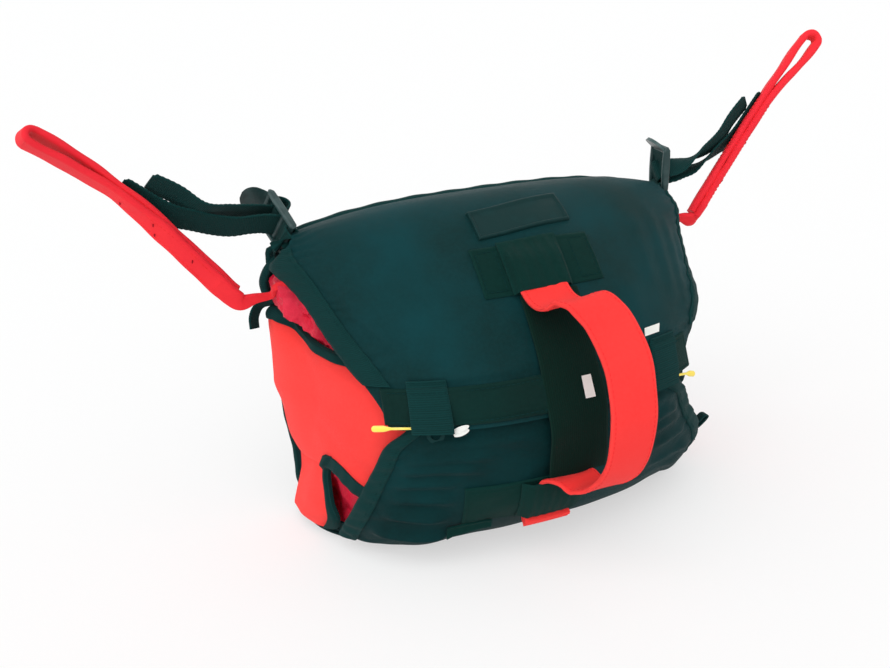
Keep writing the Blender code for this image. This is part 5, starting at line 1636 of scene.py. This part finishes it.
@dataclass
class PullHandle:
    """Red grip loop with its tabs, the black band behind it and a bare tag."""

    width: float = 0.038
    wall: float = 0.003
    shift: float = -0.011
    arch: Table = tenths(
        (-48, -1530, 2028), (-38, -1585, 2040), (-5, -1665, 2085), (30, -1750, 2100), (85, -1890, 2035),
        (122, -2010, 1905), (128, -2140, 1752), (122, -2210, 1585), (120, -2240, 1420),
        (118, -2230, 1260), (108, -2175, 1030), (80, -2080, 868), (30, -1975, 780), (-25, -1870, 758),
        (-68, -1785, 776))
    tab: tuple[float, float, float, float] = (0.221, 0.2065, 0.072, 0.034)
    tab_shift: float = -0.005
    tab_lean: float = 0.006
    end_share: float = 0.49
    band: Triple = (0.023, 0.079, 0.2005)
    band_lift: float = 0.0055
    band_wall: float = 0.002

    def route(self) -> Array:
        """Middle of the grip: upper tab, arch and lower tab."""
        high, fold, back, low = self.tab
        top = FORM.at(self.tab_shift, np.linspace(high, fold, 4), self.band_lift + self.band_wall + 0.0017)
        lower = np.linspace(back, low, 5)
        across = np.linspace(self.shift, self.shift - self.tab_lean, 5)
        foot = FORM.at(across, lower, 0.002 - LowerFlap.tuck(across, lower))
        return np.concatenate([top, np.array(self.arch), foot])

    def build(self) -> None:
        """Build the grip, its folded end, the band and the tag."""
        self.build_grip()
        self.build_tab_end()
        self.build_band()

    def build_grip(self) -> None:
        """Padded red loop with a row of stitches along each edge of both faces."""
        path = smooth_line(self.route(), 240)
        run = shares(240)[:, None]
        across = RIGHT + np.array((0.0, -0.12, 0.1)) * np.sin(run * math.pi * 2.0) * 0.6
        narrow = 1.0 - 0.04 * np.sin(run * math.pi) + 0.012 * np.sin(run * 37.0)
        scale = np.concatenate([narrow, np.ones_like(narrow)], 1)
        shape = sweep(path, across, stadium(self.width, self.wall, 26, 7), scale)
        place("handle_grip_cloth", shape, RED_GRIP, "pull_handle", "handle_grip", sharp=80.0)
        along = unit(np.gradient(path, axis=0))
        side = unit(across - along * np.einsum("ij,ij->i", across, along)[:, None])
        over = np.cross(along, side)
        inset, rise = self.width / 2.0 - 0.0035, self.wall / 2.0 + 0.00005
        rows = [stitched(path + side * (sign * inset) + over * (face * rise), over * face)
                for sign in (-1.0, 1.0) for face in (-1.0, 1.0)]
        place("handle_grip_seams", gathered(rows), RED_THREAD, "pull_handle")

    def build_tab_end(self) -> None:
        """Folded end of the lower tab, two plies that stand out below the pocket."""
        middle = self.shift - self.tab_lean
        half = self.width * self.end_share
        x, out = strip(shares(14), middle - half, middle + half, 30)
        plies = []
        for high, reach in ((self.tab[3] + 0.004, 0.0085), (self.tab[3] + 0.0006, 0.008)):
            height = high - 0.003 * out
            lift = mix(0.0012, reach, ease(out)) - LowerFlap.tuck(x, height)
            over, under = (FORM.at(x, height + half_ply, lift) for half_ply in (0.0011, -0.0011))
            plies.append(slab(over, under))
        place("handle_tab_end", gathered(plies), RED_GRIP, "pull_handle", sharp=80.0)

    def band_bow(self, x: Array, height: Array) -> Array:
        """Slow waves of the band behind the grip."""
        return 0.0006 * Crumple(91, 0.05).field(x, height)

    def build_band(self) -> None:
        """Black band behind the grip, with the bare tag sewn on it."""
        half, low, high = self.band
        x, height = strip(np.linspace(high, low, 110), -half, half, 30)
        lift = self.band_lift + self.band_bow(x, height)
        rim = half - np.abs(x)
        rib = 0.00008 * np.abs(np.sin(x * math.pi / 0.0035))
        shape = front_slab(x, height, lift + soft_wall(self.band_wall, rim, 0.55, 0.0012) + rib, lift)
        place("handle_band_tape", shape, BLACK_BAND, "pull_handle", "handle_band")
        x, height = strip(np.linspace(0.1465, 0.132, 16), 0.0065, 0.014, 12)
        lift = self.band_lift + self.band_wall + 0.0005 + self.band_bow(x, height)
        shape = front_slab(x, height, lift + 0.0006, lift)
        place("handle_tag_tape", shape, WHITE_TAPE, "pull_handle", "handle_tag")


@dataclass
class ClosingPin:
    """Flexible yellow pin with a flat paddle end, and the closing loop it passes through."""

    side: Side
    height: float = 0.1262
    place_x: float = 0.101
    lift: float = 0.0036
    outer: float = 0.044
    inner: float = 0.012
    droop: float = 0.0
    radius: float = 0.0016
    loop_radius: float = 0.0022
    cord: float = 0.0009

    def build(self) -> None:
        """Build the pin and its loop."""
        word = self.side.word
        sign = self.side.value
        turn = FORM.turn_at(np.array(sign * self.place_x))
        station = FORM.station_at(self.height)
        out = FORM.normal(turn, station)
        along = FORM.point(turn - sign * 0.001, station) - FORM.point(turn, station)
        along = unit(along - out * np.dot(along, out))
        middle = FORM.surface(turn, station, self.lift)
        run = np.concatenate([np.linspace(0.0, 0.16, 14), np.linspace(0.17, 1.0, 30)])[:, None]
        path = mix(middle - along * self.outer, middle + along * self.inner, run)
        path = path - UP * self.droop * clamp(1.0 - run / 0.75) ** 2
        paddle = step_down(run, 0.26, 0.12) * np.sqrt(np.clip(run / 0.03, 0.05, 1.0))
        tip = np.sqrt(np.clip((1.0 - run) / 0.04, 0.1, 1.0))
        scale = np.concatenate([(0.62 + 0.85 * paddle) * tip, (0.62 + 0.2 * paddle) * tip], 1)
        scale[0] *= 0.5
        shape = sweep(path, np.cross(out, along), ellipse(self.radius, self.radius, 14), scale)
        place(f"{word}_pin_rod", shape, YELLOW_PLASTIC, f"{word}_pin_slider", f"{word}_pin")
        ring = np.arange(36)[:, None] * 2.0 * math.pi / 36.0
        path = middle + (out * np.cos(ring) + np.cross(out, along) * np.sin(ring)) * self.loop_radius
        shape = sweep(path, along, ellipse(self.cord, self.cord, 10), loop=True)
        place(f"{word}_closing_cord", shape, WHITE_TAPE, "upper", f"{word}_closing_loop")


@dataclass
class Arm:
    """Keeper loop, ladder-lock buckle, adjuster strap and riser of one side."""

    side: Side
    keeper: Array
    bend: Triple
    tip: Triple
    buckle_shift: Triple
    buckle_rise: Triple
    buckle_across: Triple
    roll: float
    sewn: Table
    free: Table
    sewn_turn: float
    keeper_anchor: Triple
    keeper_across: Triple
    roll_eye: float
    bow: Table
    webbing: float = 0.0205
    webbing_wall: float = 0.0018
    wrap: float = 0.004
    bar_pitch: float = 0.0126
    top_bar: float = 0.033
    buckle_half: float = 0.0155
    rail: float = 0.004
    rail_depth: float = 0.0072
    tab_rise: float = 0.0085
    tab_lean: float = 0.011
    riser_width: float = 0.0165
    ply: float = 0.0062
    rear_drop: float = 0.008
    eye_gap: float = 0.0075
    eye_start: float = 0.11
    elbow: float = 0.0105
    tail_entry: float = 0.211
    tail_inset: float = 0.001
    strap_back: float = 0.0068
    strap_bar: float = 0.0126
    strap_wrap: float = 0.004
    strap_sag: float = 1.0
    free_sag: float = 1.0
    strap_twist: float = 0.0
    free_turn: float = 0.0
    turn_out: float = 0.0

    def axes(self) -> tuple[Array, Array, Array, Array]:
        """Bend point and the riser's long, backward and upward directions."""
        flip = np.array((self.side.value, 1.0, 1.0))
        start = np.array((FORM.half_width, 0.0, 0.0))
        bend = (np.array(self.bend) + start) * flip
        axis = unit((np.array(self.tip) + start) * flip - bend)
        back = unit(BACK - axis * axis[1])
        above = np.cross(axis, back)
        above = above if above[2] > 0.0 else -above
        return bend, axis, back, above

    def plies(self, along: Array) -> tuple[Array, Array]:
        """Directions across the two plies and along their width, rolled and twisted up to the eye."""
        _, _, back, above = self.axes()
        share = np.asarray(along, float)[..., None] / self.eye_start
        turn = np.radians(mix(self.roll, self.roll_eye, step_up(share, 0.45, 0.6)))
        return back * np.cos(turn) + above * np.sin(turn), above * np.cos(turn) - back * np.sin(turn)

    def spine(self, along: Array) -> Array:
        """Middle of the riser at a distance from its bend, bowed upwards."""
        bend, axis, _, above = self.axes()
        along = np.asarray(along, float)[..., None]
        return bend + axis * along + above * edge_table(self.bow, along)

    def frame_axes(self) -> tuple[Array, Array, Array, Array]:
        """Foot of the buckle, its long direction, the direction of its bars and its face."""
        rise = unit(np.array(self.buckle_rise))
        bars = np.array(self.buckle_across)
        bars = unit(bars - rise * np.dot(bars, rise))
        return self.keeper + np.array(self.buckle_shift), rise, bars, np.cross(rise, bars)

    def build(self) -> None:
        """Build all the pieces of this arm."""
        self.build_keeper()
        self.build_buckle()
        self.build_strap()
        self.build_riser()
        self.build_tail()

    def build_keeper(self) -> None:
        """Webbing loop over the buckle's lower bar, with both legs down to the panel's corner."""
        foot, rise, bars, face = self.frame_axes()
        turn = np.linspace(0.0, math.pi, 14)[:, None]
        over = foot + (face * np.cos(turn) + rise * np.sin(turn)) * self.wrap
        anchor = self.keeper + np.array(self.keeper_anchor)
        legs = np.stack([anchor + face * 0.0022, mix(anchor, foot, 0.6) + face * self.wrap * 0.8])
        other = np.stack([mix(anchor, foot, 0.6) - face * self.wrap * 0.8, anchor - face * 0.0022])
        path = smooth_line(np.concatenate([legs, over, other]), 60)
        name = f"{self.side.word}_keeper_loop"
        free = np.abs(np.linspace(-1.0, 1.0, 60))[:, None]
        level = unit(np.array(self.keeper_across))
        across = mix(bars * np.sign(np.dot(bars, level)), level, step_up(free, 0.35, 0.6))
        shape = sweep(path, across, stadium(self.webbing, self.webbing_wall, 14, 5))
        place(f"{name}_tape", shape, BLACK_STRAP, "container", name)

    def build_buckle(self) -> None:
        """Ladder-lock: two deep rails, three bars and a ribbed tab that leans away from the strap."""
        foot, rise, bars, face = self.frame_axes()
        parts = []
        run = shares(30)[:, None]
        for sign in (-1.0, 1.0):
            path = foot + rise * mix(-0.0035, self.top_bar + 0.003, run)
            path = path + bars * (sign * (self.buckle_half - self.rail / 2.0))
            end = np.sqrt(np.clip(np.minimum(run, 1.0 - run) / 0.06, 0.2, 1.0))
            depth = end * (0.8 + 0.2 * np.sin(run * math.pi))
            outline = stadium(self.rail_depth, self.rail, 8, 7)
            parts.append(sweep(path, face, outline, np.concatenate([depth, end], 1)))
        run = np.linspace(-1.0, 1.0, 12)[:, None]
        bar_sizes = ((0.0, 0.0022, 0.0022), (self.bar_pitch, 0.0022, 0.002), (self.top_bar, 0.0034, 0.0024))
        for level, reach, deep in bar_sizes:
            path = foot + rise * level + bars * (run * (self.buckle_half - self.rail * 0.5))
            parts.append(sweep(path, rise, ellipse(reach, deep, 14)))
        run = shares(60)[:, None]
        across = np.linspace(-1.0, 1.0, 30)[None]
        round_end = np.sqrt(np.clip(1.0 - clamp((run - 0.45) / 0.56) ** 2, 0.05, 1.0))
        half = (self.buckle_half - 0.0018) * round_end
        level = mix(self.top_bar - 0.002, self.top_bar + self.tab_rise, run)
        past = clamp((level - self.top_bar + 0.002) / (self.tab_rise + 0.002))
        lean = -self.tab_lean * past ** 1.2
        ridge = 0.0005 * np.maximum(0.0, np.sin(run * math.pi * 7.0)) * step_down(run, 0.94, 0.1) * past
        ridge = ridge * step_down(np.abs(across), 0.8, 0.1)
        middle = foot + level[..., None] * rise + (half * across)[..., None] * bars
        side = unit(face + 0.8 * rise)
        front = middle + lean[..., None] * face + (0.0015 + ridge)[..., None] * side
        back = middle + lean[..., None] * face - 0.0013 * side
        parts.append(slab(front, back))
        name = f"{self.side.word}_buckle"
        place(f"{name}_frame", gathered(parts), DARK_PLASTIC, f"{self.side.word}_lock", name)
        level = np.linspace(-0.001, self.top_bar - 0.001, 40)[:, None]
        wave = 0.001 * np.sin(level / self.bar_pitch * math.pi * 1.4 + 0.6)
        web = foot + level[..., None] * rise + (across * (self.buckle_half - self.rail))[..., None] * bars
        web = web + (wave + 0.0 * across)[..., None] * face
        shape = slab(web + face * 0.0011, web - face * 0.0011)
        place(f"{name}_web", shape, BLACK_STRAP, f"{self.side.word}_lock")

    def strap_route(self) -> tuple[Array, Array]:
        """Middle line and width direction of the strap: sewn ply, round the bar and back as a loose tail."""
        bend, axis, back, above = self.axes()
        foot, rise, bars, _ = self.frame_axes()
        bar = foot + rise * self.strap_bar
        across = bars if np.dot(bars, above) > 0.0 else -bars
        across = unit(across + UP * self.strap_twist)
        plies = ((np.array(self.sewn), self.strap_back), (np.array(self.free), self.strap_back - 0.004))
        sewn, free = (bend + axis * spots[:, :1] + above * spots[:, 1:] + back * depth
                      for spots, depth in plies)
        level, loose = (above * math.cos(math.radians(angle)) + back * math.sin(math.radians(angle))
                        for angle in (self.sewn_turn, self.sewn_turn + self.free_turn))
        toward = sewn[-1] - bar
        out = unit(toward - across * np.dot(toward, across))
        over = np.cross(across, out)
        over = over if over[2] > 0.0 else -over
        low = bar + out * 0.011 - over * self.strap_wrap
        high = bar + out * 0.011 + over * self.strap_wrap
        share = np.array((0.22, 0.45, 0.68, 0.88))[:, None]
        down = UP * np.array((0.003, 0.006, 0.006, 0.002))[:, None] * self.strap_sag
        lower = mix(sewn[-1], low, share) - down
        turn = np.radians(np.linspace(-90.0, -270.0, 9))[:, None]
        wrap = bar + (out * np.cos(turn) + over * np.sin(turn)) * self.strap_wrap
        climb = np.array((0.0, 0.3, 0.6))[:, None]
        upper = mix(high, free[0], climb) - UP * np.array((0.0, 0.002, 0.003))[:, None] * self.free_sag
        route = np.concatenate([sewn, lower, low[None], wrap, upper, free])
        turns = np.concatenate([
            np.broadcast_to(level, sewn.shape),
            mix(level, across, np.array((0.15, 0.35, 0.6, 0.85))[:, None]), np.broadcast_to(across, (10, 3)),
            mix(across, loose, np.array((0.1, 0.45, 0.8))[:, None]), np.broadcast_to(loose, free.shape)])
        return route, turns

    def build_strap(self) -> None:
        """Ribbed adjuster strap with scalloped edges and a heat-sealed end."""
        route, turns = self.strap_route()
        both = smooth_line(np.concatenate([route, turns], 1), 340)
        run = shares(340)[:, None]
        scallop = 1.0 + 0.022 * np.sin(run * 2.0 * math.pi * 62.0) + 0.02 * np.sin(run * 41.0)
        ends = np.sqrt(np.clip(np.minimum(run, 1.0 - run) / 0.008, 0.6, 1.0))
        scale = np.concatenate([scallop * ends, np.ones_like(run)], 1)
        name = f"{self.side.word}_strap"
        shape = sweep(both[:, :3], both[:, 3:], stadium(self.webbing, self.webbing_wall, 16, 5), scale)
        place(f"{name}_tape", shape, BLACK_STRAP, f"{self.side.word}_arm", name)
        if self.turn_out:
            foot, rise, bars, face = self.frame_axes()
            turn = np.linspace(-0.5, 0.5, 24)[:, None] * math.pi
            loop = foot + rise * (self.strap_bar + 0.004 + 0.0065 * np.sin(turn)) - bars * 0.004
            loop = loop - face * (np.cos(turn) * self.turn_out)
            shape = sweep(loop, bars, stadium(self.webbing, self.webbing_wall, 14, 5))
            place(f"{name}_turn", shape, BLACK_STRAP, f"{self.side.word}_lock")

    def riser_path(self) -> tuple[Array, Array]:
        """Middle of the sleeve's ply up one face, round the eye and down the other, in space and flat."""
        length = float(np.linalg.norm(np.array(self.tip) - np.array(self.bend)))
        half_eye = self.eye_gap / 2.0 + self.ply / 2.0
        turn_at = length - half_eye - self.ply / 2.0
        along = np.linspace(0.0, turn_at, 90)
        open_share = ease((along - self.eye_start) / (turn_at - self.eye_start) * 1.15)
        off = mix(self.ply * 0.46, half_eye, open_share) + 0.0002 * np.sin(along * 160.0)
        turn = np.radians(np.linspace(90.0, -90.0, 40)[1:-1])
        cap = np.stack([turn_at + half_eye * np.cos(turn), half_eye * np.sin(turn)], -1)
        foot = np.stack([np.linspace(-self.rear_drop, -0.002, 5), np.full(5, self.ply * 0.46)], -1)
        rear = np.stack([along, off], -1)
        plane = np.concatenate([foot, rear, cap, np.stack([along, -off], -1)[::-1]])
        return self.spine(plane[:, 0]) + plane[:, 1:] * self.plies(plane[:, 0])[0], plane

    def build_riser(self) -> None:
        """Soft red sleeve folded into an eye, sewn flat below it, with seams and bar tacks."""
        axis = self.axes()[1]
        path, plane = self.riser_path()
        width = self.plies(plane[:, 0])[1]
        count = len(path)
        lump = 1.0 + 0.05 * Crumple(101, 0.035).field(plane[:, 0], plane[:, 1] * 3.0)[:, None]
        first = np.clip(np.arange(count) / 2.0, 0.6, 1.0)[:, None]
        shape = sweep(path, width, stadium(self.riser_width, self.ply * 0.97, 14, 11), lump * first)
        word = self.side.word
        place(f"{word}_riser_sleeve", shape, RED_SLEEVE, f"{word}_arm", f"{word}_riser", sharp=80.0)
        along = np.linspace(0.008, self.eye_start - 0.004, 80)
        stack, width = self.plies(along)
        rise = self.ply * 0.94
        rows = [stitched(self.spine(along) + width * (offset * self.riser_width) + stack * (face * rise),
                         stack * face, radius=0.0003)
                for face in (-1.0, 1.0) for offset in (-0.3, 0.3)]
        place(f"{word}_riser_seams", gathered(rows), RED_THREAD, f"{word}_arm")
        marks = []
        for station, offset in ((0.036, 0.1), (0.068, -0.22), (0.074, 0.16), (0.1, -0.1)):
            stack, width = self.plies(np.array(station))
            spot = self.spine(station) + width * (offset * self.riser_width) - stack * (self.ply + 0.0001)
            line = spot + (axis * 0.55 + width * 0.8) * np.linspace(-0.0026, 0.0026, 6)[:, None]
            marks.append(stitched(line, np.broadcast_to(-stack, (6, 3)), 0.003, 0.0004, 0.00045))
        place(f"{word}_riser_tacks", gathered(marks), DARK_RED_THREAD, f"{word}_arm")

    def build_tail(self) -> None:
        """Narrow webbing that bends out of the sleeve's foot and dives into the container."""
        axis = self.axes()[1]
        stack, width = self.plies(np.array(0.0))
        sign = self.side.value
        mouth = FORM.at(sign * (FORM.half_width - self.tail_inset), self.tail_entry, 0.0062)
        over = FORM.at(sign * 0.1709, self.tail_entry + 0.0077, 0.0062)
        inside = FORM.at(sign * 0.1665, self.tail_entry + 0.016, -0.002)
        front = self.spine(0.0) - stack * (self.ply / 2.0)
        elbow = front - axis * self.elbow + np.array((-0.002 * sign, 0.0, -0.001))
        route = np.stack([front + axis * 0.01, front, front - axis * self.elbow * 0.57, elbow,
                          mix(elbow, mouth, 0.45), mouth, over, inside])
        turns = np.stack([width, width, width, mix(width, UP, 0.35), mix(width, UP, 0.7), UP, UP, UP])
        both = smooth_line(np.concatenate([route, turns], 1), 90)
        run = shares(90)[:, None]
        waist = [(1.0, 0.3), (0.72, 0.34), (0.58, 0.38), (0.45, 0.54), (0.3, 0.92), (0.0, 0.94)]
        narrow = edge_table(waist, run)
        thin = mix(0.94, 0.6, step_up(run, 0.25, 0.25))
        shape = sweep(both[:, :3], both[:, 3:], stadium(self.riser_width, self.ply, 12, 7),
                      np.concatenate([narrow, thin], 1))
        word = self.side.word
        place(f"{word}_riser_tail_tape", shape, RED_SLEEVE, f"{word}_arm", f"{word}_riser_tail",
              sharp=80.0)


def arms(pivots: dict[str, Array]) -> list[Arm]:
    """Both arms, each with the tilt, roll and strap run that it has in use.

    Args:
        pivots: Place of each turning joint.

    Returns:
        The left and the right arm.
    """
    left = Arm(Side.LEFT, pivots["left_buckle_pivot"], (0.0378, -0.0168, 0.2076), (0.1585, -0.014, 0.3385),
               (0.0002, -0.0109, -0.0008), (-0.22, 0.768, 0.602), (-0.267, 0.55, -0.799), 26.0,
               tenths((1060, 110), (850, 140), (660, 180)), tenths((540, 345), (740, 325), (940, 275)),
               -26.0, (0.003, 0.003, -0.014), (-0.6, 0.3, -0.7), 60.0,
               tenths((1720, 10), (1400, 60), (1020, 89), (630, 66), (210, 22), (0, 7)),
               ply=0.0054, eye_gap=0.0042, eye_start=0.104, top_bar=0.034, tab_rise=0.0125, tab_lean=-0.014,
               strap_bar=0.019, strap_wrap=0.005, strap_sag=0.7, free_sag=0.0, turn_out=0.01, free_turn=-16.0)
    right = Arm(Side.RIGHT, pivots["right_buckle_pivot"], (0.0359, -0.0169, 0.209), (0.161, -0.014, 0.351),
                (0.008, -0.004, -0.004), (0.03, 0.0, 1.0), (-0.2, -0.98, 0.0), 56.0,
                tenths((1180, 100), (960, 95), (740, 95)), tenths((640, 240), (820, 250), (1030, 235)),
                -30.0, (-0.013, 0.003, -0.008), (-0.8, -0.3, 0.5), 60.0,
                tenths((1900, 50), (1520, 70), (1240, 92), (950, 85), (480, 55), (0, 20)),
                riser_width=0.015, ply=0.0064, rear_drop=-0.002, eye_gap=0.006, eye_start=0.118, elbow=0.0035,
                tail_entry=0.223, strap_twist=-0.8)
    return [left, right]


@dataclass
class Studio:
    """Pale floor, soft light and the camera at the photograph's place."""

    place: Triple = (-0.329, -0.735, 0.438)
    yaw: float = math.radians(22.1)
    pitch: float = math.radians(21.0)
    roll: float = math.radians(-2.7)
    focal_pixels: float = 1002.0
    frame_pixels: float = 890.0
    sensor: float = 36.0
    floor_half: float = 30.0
    floor_colour: Triple = (0.95, 0.955, 0.955)
    floor_white: float = 0.55
    ambient: float = 0.58

    def build(self) -> None:
        """Build the floor, the light and the camera."""
        self.build_floor()
        self.build_light()
        self.build_camera()
        bpy.context.scene.view_settings.view_transform = "Standard"

    def build_floor(self) -> None:
        """Wide plain floor just under the object."""
        half = self.floor_half
        mesh = bpy.data.meshes.new("floor")
        corners = np.array([(-half, -half, 0.0), (half, -half, 0.0), (half, half, 0.0), (-half, half, 0.0)])
        mesh.from_pydata(corners.tolist(), [], [(0, 1, 2, 3)])
        bench = Bench(bpy.data.materials.new("floor_paper"))
        paper = bench.shader.inputs
        paper["Base Color"].default_value = (*self.floor_colour, 1.0)
        paper["Roughness"].default_value = 0.95
        paper["Specular IOR Level"].default_value = 0.0
        glow = bench.add("Emission", {"Color": WHITE, "Strength": 1.0})
        share = bench.math("MULTIPLY", bench.seen(), self.floor_white)
        both = bench.add("MixShader", {0: share, 1: bench.shader.outputs[0], 2: glow})
        bench.tree.links.new(both, bench.tree.nodes["Material Output"].inputs["Surface"])
        mesh.materials.append(bench.made)
        floor = bpy.data.objects.new("floor", mesh)
        bpy.context.scene.collection.objects.link(floor)

    def build_light(self) -> None:
        """Even world with white behind the object, and three very soft suns."""
        world = bpy.data.worlds.new("studio")
        bpy.context.scene.world = world
        bench = Bench(world)
        backdrop = bench.tree.nodes["Background"].inputs
        backdrop["Color"].default_value = WHITE
        bench.tree.links.new(bench.ramp(bench.seen(), 0.0, 1.0, self.ambient, 1.0), backdrop["Strength"])
        for name, turn, strength, spread in (
                ("key", (40.0, 0.0, -30.0), 1.2, 65.0), ("fill", (50.0, 0.0, 40.0), 0.28, 80.0),
                ("side", (66.0, 0.0, -80.0), 0.85, 70.0)):
            sun = bpy.data.lights.new(name, "SUN")
            sun.energy = strength
            sun.angle = math.radians(spread)
            lamp = bpy.data.objects.new(name, sun)
            lamp.rotation_euler = [math.radians(value) for value in turn]
            bpy.context.scene.collection.objects.link(lamp)

    def build_camera(self) -> None:
        """Camera turned by yaw, pitch and roll, with the photograph's focal length."""
        level = np.array((math.sin(self.yaw), math.cos(self.yaw), 0.0))
        ahead = level * math.cos(self.pitch) - UP * math.sin(self.pitch)
        right = np.array((math.cos(self.yaw), -math.sin(self.yaw), 0.0))
        up = np.cross(right, ahead)
        tilted = math.cos(self.roll) * right + math.sin(self.roll) * up
        upright = -math.sin(self.roll) * right + math.cos(self.roll) * up
        lens = bpy.data.cameras.new("camera")
        lens.sensor_fit = "HORIZONTAL"
        lens.sensor_width = self.sensor
        lens.lens = self.sensor * self.focal_pixels / self.frame_pixels
        lens.clip_start = 0.01
        camera = bpy.data.objects.new("camera", lens)
        turn = np.eye(4)
        turn[:3, :3] = np.stack([tilted, upright, -ahead], -1)
        turn[:3, 3] = self.place
        camera.matrix_world = Matrix(turn.tolist())
        bpy.context.scene.collection.objects.link(camera)
        bpy.context.scene.camera = camera


def main() -> None:
    """Load the frame, build every sub-assembly and note the sizes."""
    logging.basicConfig(level=logging.INFO, format="%(name)s: %(message)s")
    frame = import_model()
    pivots = {joint["name"]: np.array(joint["pos_m"]) for joint in frame["joints"] if "pos_m" in joint}
    Studio().build()
    Carcass().build()
    Pack().build()
    UpperFlap().build()
    LowerFlap().build()
    PullHandle().build()
    for side in Side:
        SideFlap(side).build()
        pin = ClosingPin(side)
        if side is Side.RIGHT:
            pin = ClosingPin(side, place_x=0.082, outer=0.0375, inner=0.006, droop=0.0065)
        pin.build()
        for part in ("lower_eyelet", "side_eyelet"):
            eyelet = frame["nodes"][f"{side.word}_{part}"]
            eyelet.data.materials.clear()
            eyelet.data.materials.append(finish_of(DARK_METAL))
    for arm in arms(pivots):
        arm.build()


if __name__ == "__main__":
    main()
